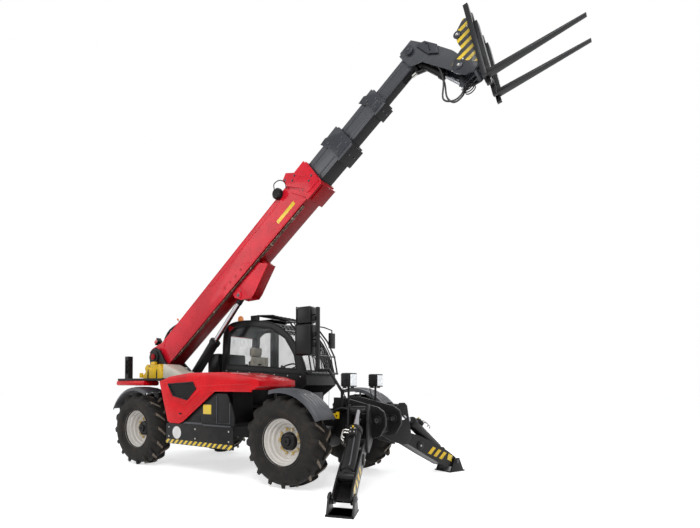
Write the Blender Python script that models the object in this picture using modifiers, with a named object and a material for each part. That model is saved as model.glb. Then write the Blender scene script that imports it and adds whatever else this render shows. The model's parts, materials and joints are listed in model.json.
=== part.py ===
"""A four-section telehandler on its wheels and front stabilisers, boom raised, forks level.

Metres, +X forward, +Y to the machine's left, +Z up. The model is laid out with x = 0 at the front
axle and is moved at the end so that the middle of its floor plan is the origin.
"""

import math

import bmesh
import bpy
from mathutils import Matrix, Vector

# Fits shared by all pieces
SEAT_GAP = 0.0003
SWING_GAP = 0.006
OVERRUN = 0.05
PLATE = 0.02
HEAVY_PLATE = 0.035

# Wheels
WHEELBASE = 3.11
WHEEL_Y = 0.985
KINGPIN_Y = 0.74
TYRE_RADIUS = 0.61
TYRE_WIDTH = 0.40
RIM_RADIUS = 0.335
RIM_WIDTH = 0.33
RIM_SEAT_SHARE = 0.92
RIM_BACK_SHARE = -0.40
TYRE_LUGS = 16
RIM_STEPS = 2 * TYRE_LUGS
# Radius from the bead to the tread in a groove and on a lug, half width, slant in lug pitches
TYRE_ROW_SHARES = (
    (0.0, 0.0, 0.72, 0.0), (0.095, 0.095, 0.722, 0.0), (0.36, 0.38, 0.995, 0.15), (0.79, 0.90, 0.93, 0.55),
    (0.885, 1.0, 0.42, 0.0),
)
# Place in a lug's pitch, and whether the section there is a lug's
TYRE_STATION_SHARES = ((0.0, False), (0.42, False), (0.5, True), (0.92, True))
# Radius as a share of the rim's, depth as a share of its half width, from the hub cap outwards
RIM_PROFILE_SHARES = (
    (0.0, 0.30), (0.36, 0.30), (0.36, -0.27), (0.64, -0.27), (0.78, 0.12), (0.80, 0.42), (0.86, 0.70),
    (0.91, 0.94), (1.0, 0.97), (0.92, 0.88), (0.91, 0.36), (0.82, 0.10), (0.82, -0.36), (0.92, -0.58),
    (0.92, -0.88), (1.0, -0.97), (0.88, -0.94), (0.86, -0.60), (0.75, RIM_BACK_SHARE), (0.0, RIM_BACK_SHARE),
)

# Axles and knuckles
AXLE_TUBE_RADIUS = 0.10
AXLE_EAR_Y = 0.64
DIFF_RADIUS = 0.18
DIFF_LENGTH = 0.36
EAR_RISE = 0.15
EAR_HALF = 0.06
EAR_REACH = 0.06
HUB_RADIUS = 0.12
HUB_INNER_Y = 0.71
YOKE_Y = 0.66
KINGPIN_RADIUS = 0.045
BRACKET_X = 0.14
BRACKET_WIDTH = 0.033
BRACKET_THICK = 0.025

# Fenders
FENDER_RADIUS = 0.70
FENDER_SHELL = 0.014
FENDER_INNER_Y = 0.775
FENDER_OUTER_Y = 1.195
FENDER_ARCS = {"front": (27.0, 105.0), "rear": (62.0, 152.0)}
FENDER_STEP_ANGLE = 9.0
# Across the fender: share of its width, drop as a share of the edge lip
FENDER_LIP = 0.05
FENDER_CROWN_SHARES = ((0.0, -1.0), (0.03, 0.0), (0.30, 0.15), (0.70, 0.15), (0.93, 0.0), (1.0, -1.0))

# Chassis
RAIL_INNER_Y = 0.20
RAIL_OUTER_Y = 0.265
AXLE_SEAT_Y = 0.33
RAIL_BOTTOM = 0.78
RAIL_TOP = 1.00
RAIL_REAR = -3.40
RAIL_FRONT = 0.60
BELLY_BOTTOM = 0.50
BELLY_REAR = -2.30
BELLY_FRONT = -0.85
CROSS_LENGTH = 0.16
CROSS_PLACES = (-2.70, -1.60, -0.45, 0.32)
PLATFORM_TOP = 0.80
PLATFORM_DEPTH = 0.055
PLATFORM_REAR = -2.25
PLATFORM_FRONT = -0.86
PLATFORM_RIGHT_Y = 1.09
PLATFORM_LEFT_Y = 1.12
AXLE_SEAT_X = 0.12

# Rear tower, deck and counterweight
TOWER_INNER_Y = 0.21
TOWER_PLATE = 0.035
TOWER_REAR = -3.93
TOWER_LENGTH = 1.08
TOWER_BASE = 0.90
TOWER_HEIGHT = 1.18
TOWER_SHARES = (
    (0.583, 0.0), (0.509, 0.32), (0.065, 0.61), (0.0, 0.85), (0.046, 0.958), (0.167, 1.0), (0.287, 0.958),
    (0.444, 0.76), (0.907, 0.44), (1.0, 0.0),
)
DECK_TOP = 1.47
DECK_PLATE = 0.04
DECK_REAR = -3.78
DECK_FRONT = -2.52
DECK_HALF_WIDTH = 1.05
COVER_DROP = 0.085
COVER_REAR = -3.76
COVER_FRONT = -2.96
COVER_WIDTH = 0.34
COVER_ROUND = 0.03
COUNTERWEIGHT_REAR = -3.84
COUNTERWEIGHT_TOP = 1.22
COUNTERWEIGHT_BOTTOM = 0.55
COUNTERWEIGHT_HALF_WIDTH = 0.40
COUNTERWEIGHT_ROUND = 0.06
HITCH_LENGTH = 0.08
HITCH_HALF_WIDTH = 0.12
HITCH_HEIGHT = 0.30
POST_WIDTH = 0.10
POST_X = -3.68
POST_Y = -0.92
POST_HEIGHT = 0.40
CHOCK_X = -3.64
CHOCK_Y = -0.50
CHOCK_LENGTH = 0.56
CHOCK_HEIGHT = 0.22
CHOCK_WIDTH = 0.20
CHOCK_SHARES = (
    (0.0, 0.0), (0.0, 0.30), (0.16, 0.62), (0.30, 1.0), (0.46, 0.72), (0.70, 1.0), (0.86, 0.92),
    (1.0, 0.45), (1.0, 0.0),
)
TANK_COVER_X = -3.05
TANK_COVER_LENGTH = 0.52
TANK_COVER_HEIGHT = 0.26
TANK_COVER_WIDTH = 0.36
TANK_COVER_SHARES = ((0.0, 0.0), (0.0, 1.0), (0.06, 1.0), (1.0, 0.30), (1.0, 0.0))
REAR_BOX_LENGTH = 0.30
REAR_BOX_FRONT = -2.54
REAR_BOX_HEIGHT = 0.48
REAR_BOX_Y = 0.28
REAR_BOX_WIDTH = 0.76
REAR_BOX_ROUND = 0.03

# Nose
NOSE_INNER_Y = 0.225
NOSE_PLATE = 0.045
NOSE_REAR = 0.28
NOSE_LENGTH = 0.79
NOSE_BOTTOM = 0.60
NOSE_HEIGHT = 0.59
NOSE_SHARES = (
    (0.0, 0.10), (0.0, 1.0), (0.20, 1.0), (0.86, 0.80), (0.97, 0.70), (1.0, 0.55), (1.0, 0.38),
    (0.90, 0.14), (0.55, 0.0), (0.20, 0.0),
)
NOSE_BOX_SHARES = ((0.08, 0.12), (0.08, 0.70), (0.80, 0.60), (0.80, 0.20), (0.55, 0.04))
NOSE_HOLE_RADIUS = 0.038
NOSE_HOLE_SHARE = (0.86, 0.50)

# Stabilisers: a leg swings about H in a plane turned from the forward axis
STAB_X = 0.80
STAB_Y = 0.45
STAB_TURN = 70.0
STAB_HINGE = (0.22, 0.62)
STAB_ROD_PIN = (0.13, 1.04)
STAB_BARREL_PIN = (1.06, 0.345)
STAB_FOOT_PIN = (1.33, 0.165)
STAB_EAR_INNER = 0.1103
STAB_EAR_PLATE = 0.025
STAB_LEG_PLATE = 0.020
STAB_EAR_REACH = 0.52
# Ear plate: along from the foot of the bracket to the hinge, height from hinge to rod pin
STAB_EAR_SHARES = (
    (0.0, 0.10), (0.385, -0.14), (0.846, -0.286), (1.06, -0.26), (1.173, -0.095), (1.154, 0.143), (1.0, 1.07),
    (0.904, 1.167), (0.73, 1.167), (0.54, 0.95), (0.0, 0.74),
)
# Leg side plate: along from hinge to foot pin, across in leg depths
STAB_LEG_DEPTH = 0.24
STAB_LEG_SHARES = (
    (-0.055, 0.15), (-0.05, -0.25), (0.04, -0.40), (0.15, -0.43), (0.45, -0.54), (0.81, -0.62), (0.95, -0.50),
    (1.04, -0.20), (1.04, 0.10), (0.98, 0.24), (0.80, 0.38), (0.55, 0.45), (0.25, 0.42), (0.05, 0.30),
)
STAB_WEB_SHARES = ((0.10, -0.40), (0.15, -0.42), (0.45, -0.53), (0.81, -0.61), (0.93, -0.50), (0.93, -0.40), (0.10, -0.30))
STAB_HUB_RADIUS = 0.062
STAB_BOSS_RADIUS = 0.040
STAB_PIN_RADIUS = 0.028
FOOT_HALF_LENGTH = 0.18
FOOT_HALF_WIDTH = 0.15
FOOT_SOLE = 0.02
FOOT_CHEEK = 0.022
FOOT_CHEEK_Y = 0.125
FOOT_PIN_BOSS = 0.05

# Engine, skirt, tank
ENGINE_LENGTH = 0.92
ENGINE_REAR = -1.98
ENGINE_WIDTH = 0.46
ENGINE_Y = -0.92
ENGINE_HEIGHT = 0.48
SKIRT_REAR = -2.31
SKIRT_FRONT = -0.85
SKIRT_BOTTOM = 0.43
SKIRT_TOP = 0.75
SKIRT_Y = 1.138
SKIRT_PLATE = 0.022
FASCIA_TOP = 1.235
FASCIA_Y = PLATFORM_RIGHT_Y + SKIRT_PLATE + SEAT_GAP
FASCIA_SHARES = ((0.16, 0.0), (0.20, 0.30), (0.60, 1.0), (0.90, 1.0), (0.965, 0.62), (1.0, 0.30), (1.0, 0.0))
STEP_DEPTH = 0.07
STEP_SHARE = (0.30, 0.62)
TANK_BOTTOM = 0.42
TANK_INNER_Y = 0.62
TANK_REAR = -2.20
TANK_LENGTH = 1.26
TANK_ROUND = 0.05

# Bonnet
BONNET_REAR = -2.48
BONNET_LENGTH = 2.11
BONNET_BOTTOM = 0.757
BONNET_HEIGHT = 0.79
BONNET_OUTER_Y = 1.15
BONNET_INNER_Y = 0.30
BONNET_WALL = 0.014
BONNET_ROUND = 0.11
BONNET_LIP = 1.345
BONNET_SHARES = (
    (0.0, 0.835), (0.10, 0.04), (0.13, 0.0), (0.23, 0.0), (0.27, 0.04), (0.61, 0.66), (0.93, 0.66),
    (1.0, 0.74), (1.0, 0.85), (0.92, 0.91), (0.69, 1.0), (0.35, 1.0), (0.12, 0.93),
)
GRILLE_SHARES = ((0.105, 0.77), (0.38, 0.81), (0.415, 0.69), (0.32, 0.47), (0.165, 0.545))
GRILLE_PLATE = 0.01
GRILLE_LAP = 0.018
BONNET_HINGE_Z = 1.46
HINGE_POST_X = (-2.00, -0.80)
HINGE_POST_WIDTH = 0.06
HINGE_POST_DEPTH = 0.07
HINGE_POST_TOP = 1.45

# Cab
CAB_REAR = -2.45
CAB_LENGTH = 1.90
CAB_FLOOR = 0.8003
CAB_HEIGHT = 1.70
CAB_INNER_Y = 0.27
CAB_OUTER_Y = 1.17
CAB_WALL = 0.05
CAB_SHARES = (
    (0.09, 0.0), (0.08, 0.265), (0.0, 0.34), (0.026, 0.89), (0.08, 0.975), (0.18, 1.0), (0.40, 1.0),
    (0.626, 0.955), (0.80, 0.84), (0.90, 0.70), (0.965, 0.54), (0.99, 0.44), (1.0, 0.33), (0.87, 0.22),
    (0.85, 0.0),
)
RIGHT_WINDOW_SHARES = (
    (0.075, 0.55), (0.895, 0.485), (0.865, 0.63), (0.77, 0.79), (0.61, 0.90), (0.36, 0.945), (0.17, 0.94),
    (0.10, 0.90),
)
FRONT_WINDOW_SHARES = ((0.64, 0.80), (0.64, 1.20), (1.20, 1.20), (1.20, 0.46), (0.90, 0.46), (0.70, 0.80))
REAR_WINDOW_SHARES = ((-0.1, 0.50), (0.06, 0.50), (0.06, 0.87), (-0.1, 0.87))
LEFT_WINDOW_SHARES = ((0.065, 0.52), (0.245, 0.52), (0.245, 0.93), (0.15, 0.93), (0.085, 0.88))
DOOR_SHARES = (
    (0.29, 0.05), (0.82, 0.05), (0.835, 0.25), (0.95, 0.35), (0.94, 0.46), (0.88, 0.64), (0.775, 0.80),
    (0.61, 0.91), (0.40, 0.95), (0.29, 0.95),
)
DOOR_WINDOW_SHARES = (
    (0.33, 0.50), (0.895, 0.48), (0.85, 0.62), (0.75, 0.77), (0.60, 0.87), (0.40, 0.905), (0.33, 0.905),
)
DOOR_HINGE_OUT = 0.02
DOOR_HINGE_RADIUS = 0.016
DOOR_HINGE_STRAP = 0.07
DOOR_HINGE_HEIGHTS = (0.42, 1.30)
DOOR_HINGE_HALF = 0.05
SEAT_PLACE_SHARE = 0.2263
SEAT_X = CAB_REAR + SEAT_PLACE_SHARE * CAB_LENGTH
SEAT_LENGTH = 0.56
SEAT_Y = 0.47
SEAT_WIDTH = 0.50
SEAT_BASE_HEIGHT = 0.38
SEAT_CUSHION = 0.13
SEAT_BACK_HEIGHT = 0.72
SEAT_ROUND = 0.03
CONSOLE_PLACE_SHARE = 0.658
CONSOLE_X = CAB_REAR + CONSOLE_PLACE_SHARE * CAB_LENGTH
CONSOLE_LENGTH = 0.30
CONSOLE_HEIGHT = 0.72
CONSOLE_SHARES = ((0.25, 0.0), (0.0, 0.88), (0.10, 1.0), (1.0, 0.92), (1.0, 0.0))
STEERING_RADIUS = 0.19
STEERING_GRIP = 0.016
STEERING_LIFT = 0.22
BEACON_RADIUS = 0.06
BEACON_HEIGHT = 0.13
BEACON_X = -2.14
BEACON_Y = 0.42

# Windscreen guard
GUARD_BAR_RADIUS = 0.011
GUARD_RAIL_RADIUS = 0.016
GUARD_BARS = 8
GUARD_INNER_Y = 0.31
GUARD_OUTER_Y = 1.11
GUARD_SHARES = ((0.44, 1.045), (0.62, 1.03), (0.80, 0.955), (0.93, 0.78), (1.005, 0.62), (1.035, 0.45))
GUARD_RAIL_AT = (0, 2, 4, 5)
GUARD_FOOT_SHARE = 0.9905

# Mirrors, lamps
MIRROR_POST_X = 0.05
MIRROR_POST_Y = -0.33
MIRROR_POST_TOP = 2.49
MIRROR_POST_BEND = 1.58
MIRROR_POST_ELBOW_X = 0.24
MIRROR_POST_WIDTH = 0.05
MIRROR_ARM_RADIUS = 0.012
MIRROR_SHARES = (
    ("upper", -0.27, -0.03, 2.26, 2.51, 0.16, 0.07),
    ("lower", -0.28, -0.02, 1.80, 2.25, 0.20, 0.09),
)
MIRROR_ROUND = 0.025
LEFT_MIRROR_X = -0.77
LEFT_MIRROR_Y = 1.40
LEFT_MIRROR_Z = 2.17
LEFT_MIRROR_SIZE = (0.05, 0.17, 0.28)
LAMP_X = 0.60
LAMP_Y = 0.40
LAMP_Z = 1.435
LAMP_SIZE = (0.15, 0.20, 0.19)
LAMP_ROUND = 0.02
LAMP_POST_RADIUS = 0.018
LAMP_FOOT = 0.035

# Boom: along the boom and above its pivot line
BOOM_PIVOT_X = -3.75
BOOM_PIVOT_Z = 1.90
BOOM_ANGLE = 37.5
BOOM_DROP = 0.09
BOOM_PAD = 0.03
BOOM_PAD_LENGTH = 0.12
# name, width, depth, rear end, front end, wall, collar start, collar proud at top, at bottom, sides
BOOM_SECTIONS = (
    ("boom_base", 0.36, 0.46, 0.06, 4.50, 0.016, 4.17, 0.030, 0.045, 0.022),
    ("boom_mid_1", 0.285, 0.372, 0.35, 5.16, 0.014, 4.86, 0.030, 0.042, 0.020),
    ("boom_mid_2", 0.213, 0.288, 0.80, 5.81, 0.012, 5.60, 0.022, 0.036, 0.018),
    ("boom_tip", 0.148, 0.210, 1.25, 6.34, 0.012, 6.30, 0.0, 0.0, 0.0),
)
BOOM_TAIL_SHARES = (
    (0.28, 0.01), (0.14, 0.0), (-0.11, 0.354), (-0.19, 0.76), (-0.145, 1.21), (-0.02, 1.21), (0.28, 0.99),
)
BOOM_TAIL_LENGTH = 1.0
PIVOT_RADIUS = 0.12
PIVOT_CAP = 0.03
LUG_INNER_Y = 0.075
LUG_PLATE = 0.03
LUG_REAR = 2.14
LUG_LENGTH = 0.865
LUG_DEPTH = 0.38
LUG_SHARES = ((0.0, -0.02), (0.0, 0.32), (0.09, 0.64), (0.31, 1.0), (0.42, 0.96), (1.0, 0.48), (0.83, -0.02))
POCKET_HALF = 0.074
POCKET_REAR = 1.92
POCKET_FRONT = 2.42
PIPE_RADIUS = 0.012
PIPE_SPACING = 0.028
PIPE_START = 0.32
PIPE_END = 4.05
PIPE_CLAMPS = 7
PIPE_CLAMP_SIZE = 0.03
PIPE_CLAMP_SHARE = 2.45
BOOM_LAMP_RADIUS = 0.07
BOOM_LAMP_LENGTH = 0.10
BOOM_LAMP_S = 3.78
BOOM_LAMP_PROUD = 0.09

# Gooseneck, in the boom's frame
NECK_HALF = 0.125
NECK_PLATE = 0.022
NECK_BLOCK = 0.05
NECK_WEB_SHARES = (
    (0.04, 0.0), (0.50, 0.0), (0.66, 0.20), (0.74, 0.34), (0.84, 0.42), (0.99, 0.68), (0.93, 0.70),
    (0.79, 0.46), (0.68, 0.38), (0.58, 0.22), (0.45, 0.05), (0.04, 0.05),
)
NECK_START = 6.30
NECK_LENGTH = 0.42
NECK_DEPTH = 0.90
NECK_TOP = 0.075
NECK_SHARES = (
    (0.06, 0.0), (0.50, 0.0), (0.66, 0.20), (0.74, 0.34), (0.84, 0.42), (1.00, 0.70), (1.03, 0.86),
    (0.90, 1.02), (0.68, 1.02), (0.42, 0.62), (0.28, 0.40), (0.0, 0.30),
)
CARRIAGE_S = 6.64
CARRIAGE_N = -0.79

# Lift cylinder
LIFT_BASE_X = -3.28
LIFT_BASE_Z = 1.11
LIFT_PIN_S = 2.236
LIFT_PIN_N = -0.475
LIFT_EAR_INNER = 0.075
LIFT_EAR_PLATE = 0.03
LIFT_EAR_RADIUS = 0.10
GLAND_LENGTH = 0.07
GLAND_PROUD = 0.012
CYLINDER_STEPS = 18
# Barrel radius and length to the gland, neck behind it, rod radius, eye sizes, travel inwards
LIFT_SIZE = {
    "barrel": 0.088, "length": 1.40, "neck": 0.125, "neck_radius": 0.070, "rod": 0.045, "base_eye": 0.075,
    "base_half": 0.0747, "rod_eye": 0.044, "rod_half": 0.067, "travel": 0.66,
}
TILT_SIZE = {
    "barrel": 0.045, "length": 0.44, "neck": 0.055, "neck_radius": 0.030, "rod": 0.022, "base_eye": 0.042,
    "base_half": 0.0357, "rod_eye": 0.038, "rod_half": 0.0357, "travel": 0.20,
}
STAB_SIZE = {
    "barrel": 0.082, "length": 0.78, "neck": 0.06, "neck_radius": 0.07, "rod": 0.038, "base_eye": 0.056,
    "base_half": 0.0897, "rod_eye": 0.052, "rod_half": 0.0897, "travel": 0.30,
}

# Carriage, about its pivot, in the world's directions at rest
EAR_INNER = 0.1303
EAR_PLATE = 0.025
HEAD_HUB_RADIUS = 0.075
HEAD_HUB_INNER = 0.085
CARRIAGE_X = -0.09
CARRIAGE_Z = -0.15
CARRIAGE_WIDTH = 0.35
CARRIAGE_HEIGHT = 0.71
CARRIAGE_SHARES = (
    (0.26, 0.07), (0.49, 0.0), (0.80, 0.035), (0.9824, 0.134), (0.5871, 0.978), (0.40, 1.0), (0.14, 0.80),
    (0.20, 0.63), (0.34, 0.49), (0.11, 0.35), (0.0, 0.24), (0.06, 0.13),
)
HOOK_BAR = (0.02, 0.39)
HOOK_BAR_RADIUS = 0.045
LOWER_BAR = (0.17, -0.075)
LOWER_BAR_RADIUS = 0.05
TILT_PIN = (0.01, -0.18)
TILT_BASE_S = 6.407
TILT_BASE_N = -0.20
TILT_EAR_INNER = 0.036
TILT_EAR_PLATE = 0.02
TILT_LINK_SHARES = ((0.0, -0.05), (0.16, 0.03), (0.22, -0.09), (0.10, -0.17), (0.035, -0.222), (-0.03, -0.205))

# Fork frame and forks: T runs up the frame and D ahead of it
FORK_RAKE = 13.0
FRAME_BACK = 0.2353
FRAME_BAR = 0.055
FRAME_LOW = -0.43
FRAME_TOP = 0.52
FRAME_HALF_WIDTH = 0.37
FRAME_OUTER_BAR = 0.06
FRAME_INNER_BAR_Y = 0.143
FRAME_CROSS_AT = (-0.31, -0.02, 0.42)
FRAME_CROSS_HEIGHT = 0.07
FORK_Y = 0.24
FORK_WIDTH = 0.12
FORK_SHANK = 0.045
FORK_HEEL = -0.345
FORK_REACH = 1.30
FORK_TIP = 0.014
FORK_SHANK_TOP = 0.30

RED = (0.66, 0.012, 0.022)
DARK_GREY = (0.060, 0.064, 0.076)
BLACK = (0.012, 0.012, 0.013)
RUBBER = (0.018, 0.017, 0.016)
SILVER = (0.62, 0.60, 0.58)
YELLOW = (0.85, 0.52, 0.02)


def scene_collection(name):
    made = bpy.data.collections.new(name)
    bpy.context.scene.collection.children.link(made)
    return made


def material(name, colour, roughness, metallic):
    made = bpy.data.materials.new(name)
    made.use_nodes = True
    shader = made.node_tree.nodes["Principled BSDF"]
    shader.inputs["Base Color"].default_value = (*colour, 1.0)
    shader.inputs["Roughness"].default_value = roughness
    shader.inputs["Metallic"].default_value = metallic
    made.diffuse_color = (*colour, 1.0)
    return made


def placed(shares, corner, size):
    """Points given as shares of a size, from its low corner."""
    return [(corner[0] + u * size[0], corner[1] + v * size[1]) for u, v in shares]


def inset(points, distance):
    """A closed outline moved inwards by a distance, its corners kept sharp."""
    area = sum(a[0] * b[1] - b[0] * a[1] for a, b in zip(points, points[1:] + points[:1]))
    turn = math.copysign(1, area)
    moved = []
    for before, here, after in zip(points[-1:] + points[:-1], points, points[1:] + points[:1]):
        first = (Vector(here) - Vector(before)).normalized()
        second = (Vector(after) - Vector(here)).normalized()
        normal_1 = Vector((-first.y, first.x)) * turn
        normal_2 = Vector((-second.y, second.x)) * turn
        middle = (normal_1 + normal_2).normalized()
        moved.append(Vector(here) + middle * distance / max(middle.dot(normal_1), 0.5))
    return [tuple(point) for point in moved]


class Workshop:
    """Makes the temporary solids and joins them into finished pieces."""

    def __init__(self):
        self.bench = scene_collection("bench")
        self.parts = scene_collection("telehandler")
        self.joints = scene_collection("joints")

    def temporary(self, mesh):
        made = bpy.data.objects.new("solid", mesh)
        self.bench.objects.link(made)
        return made

    def baked(self, made):
        """The evaluated mesh of a temporary object, closed and facing out, in place of the object."""
        bpy.context.view_layer.update()
        seen = made.evaluated_get(bpy.context.evaluated_depsgraph_get())
        mesh = bpy.data.meshes.new_from_object(seen)
        mesh.transform(made.matrix_world)
        bpy.data.objects.remove(made)
        shape = bmesh.new()
        shape.from_mesh(mesh)
        bmesh.ops.remove_doubles(shape, verts=shape.verts, dist=0.00001)
        bmesh.ops.recalc_face_normals(shape, faces=shape.faces)
        shape.to_mesh(mesh)
        shape.free()
        return self.temporary(mesh)

    def box(self, low, high, round_by=0.0):
        mesh = bpy.data.meshes.new("box")
        shape = bmesh.new()
        bmesh.ops.create_cube(shape, size=1)
        size = [b - a for a, b in zip(low, high)]
        middle = [(a + b) / 2 for a, b in zip(low, high)]
        bmesh.ops.scale(shape, verts=shape.verts, vec=size)
        bmesh.ops.translate(shape, verts=shape.verts, vec=middle)
        shape.to_mesh(mesh)
        shape.free()
        made = self.temporary(mesh)
        if round_by:
            bevel = made.modifiers.new("round", "BEVEL")
            bevel.width = round_by
            bevel.segments = 2
            made = self.baked(made)
        return made

    def cylinder(self, start, end, radius, sides=20, radius_end=None):
        """A round bar from one point to another."""
        start, end = Vector(start), Vector(end)
        mesh = bpy.data.meshes.new("cylinder")
        shape = bmesh.new()
        bmesh.ops.create_cone(
            shape, cap_ends=True, segments=sides, radius1=radius,
            radius2=radius if radius_end is None else radius_end, depth=(end - start).length,
        )
        turn = Vector((0, 0, 1)).rotation_difference(end - start).to_matrix().to_4x4()
        bmesh.ops.transform(shape, verts=shape.verts, matrix=Matrix.Translation((start + end) / 2) @ turn)
        shape.to_mesh(mesh)
        shape.free()
        return self.temporary(mesh)

    def plate(self, outline, low, high, plane="XZ"):
        """A flat outline with a thickness between two places across its plane."""
        curve = bpy.data.curves.new("outline", "CURVE")
        curve.dimensions = "2D"
        curve.fill_mode = "BOTH"
        curve.extrude = (high - low) / 2
        spline = curve.splines.new("POLY")
        spline.points.add(len(outline) - 1)
        for point, (u, v) in zip(spline.points, outline):
            point.co = (u, v, 0, 1)
        spline.use_cyclic_u = True
        made = bpy.data.objects.new("outline", curve)
        self.bench.objects.link(made)
        middle = (low + high) / 2
        if plane == "XZ":
            made.matrix_world = Matrix.Translation((0, middle, 0)) @ Matrix.Rotation(math.pi / 2, 4, "X")
        elif plane == "YZ":
            made.matrix_world = Matrix.Translation((middle, 0, 0)) @ Matrix(
                ((0, 0, 1, 0), (1, 0, 0, 0), (0, 1, 0, 0), (0, 0, 0, 1)))
        else:
            made.matrix_world = Matrix.Translation((0, 0, middle))
        return self.baked(made)

    def tube(self, points, radius, resolution=2):
        curve = bpy.data.curves.new("tube", "CURVE")
        curve.dimensions = "3D"
        curve.bevel_depth = radius
        curve.bevel_resolution = resolution
        curve.use_fill_caps = True
        spline = curve.splines.new("POLY")
        spline.points.add(len(points) - 1)
        for point, place in zip(spline.points, points):
            point.co = (*place, 1)
        made = bpy.data.objects.new("tube", curve)
        self.bench.objects.link(made)
        return self.baked(made)

    def turned(self, profile, steps, ring=False):
        """A profile of radius and height turned about the local Z axis."""
        mesh = bpy.data.meshes.new("profile")
        shape = bmesh.new()
        corners = [shape.verts.new((radius, 0, height)) for radius, height in profile]
        for first, second in zip(corners, corners[1:] + (corners[:1] if ring else [])):
            shape.edges.new((first, second))
        shape.to_mesh(mesh)
        shape.free()
        made = self.temporary(mesh)
        screw = made.modifiers.new("turn", "SCREW")
        screw.steps = steps
        screw.render_steps = steps
        screw.use_merge_vertices = True
        screw.merge_threshold = 0.0001
        return self.baked(made)

    def moved(self, made, matrix):
        made.data.transform(matrix)
        return made

    def fused(self, solids, cuts=()):
        """Closed solids joined by exact union, less the cuts."""
        base, *rest = solids
        groups = []
        for operation, others in (("UNION", rest), ("DIFFERENCE", list(cuts))):
            if not others:
                continue
            group = scene_collection("group")
            groups.append((group, others))
            for other in others:
                group.objects.link(other)
            join = base.modifiers.new(operation, "BOOLEAN")
            join.operation = operation
            join.operand_type = "COLLECTION"
            join.collection = group
            join.solver = "EXACT"
        made = self.baked(base)
        for group, others in groups:
            for other in others:
                bpy.data.objects.remove(other)
            bpy.data.collections.remove(group)
        return made

    def piece(self, name, solids, finish, joint=None, cuts=()):
        """A finished sub-part, modelled in the frame of the joint that carries it."""
        made = self.fused(solids, cuts)
        self.bench.objects.unlink(made)
        self.parts.objects.link(made)
        made.name = name
        made.data.name = name
        made.data.materials.clear()
        made.data.materials.append(finish)
        made.data.shade_smooth()
        made.data.set_sharp_from_angle(angle=math.radians(30))
        made.parent = joint
        return made

    def joint(self, name, place, parent=None, turn=None):
        """An empty on a joint's axis; its pieces are modelled about it."""
        made = bpy.data.objects.new(name, None)
        self.joints.objects.link(made)
        made.parent = parent
        made.matrix_local = Matrix.Translation(place) @ (turn or Matrix.Identity(4))
        return made


def sided(low, high, sign):
    """A box's corners on one side of the middle plane."""
    first, second = sorted((sign * low[1], sign * high[1]))
    return (low[0], first, low[2]), (high[0], second, high[2])


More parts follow.
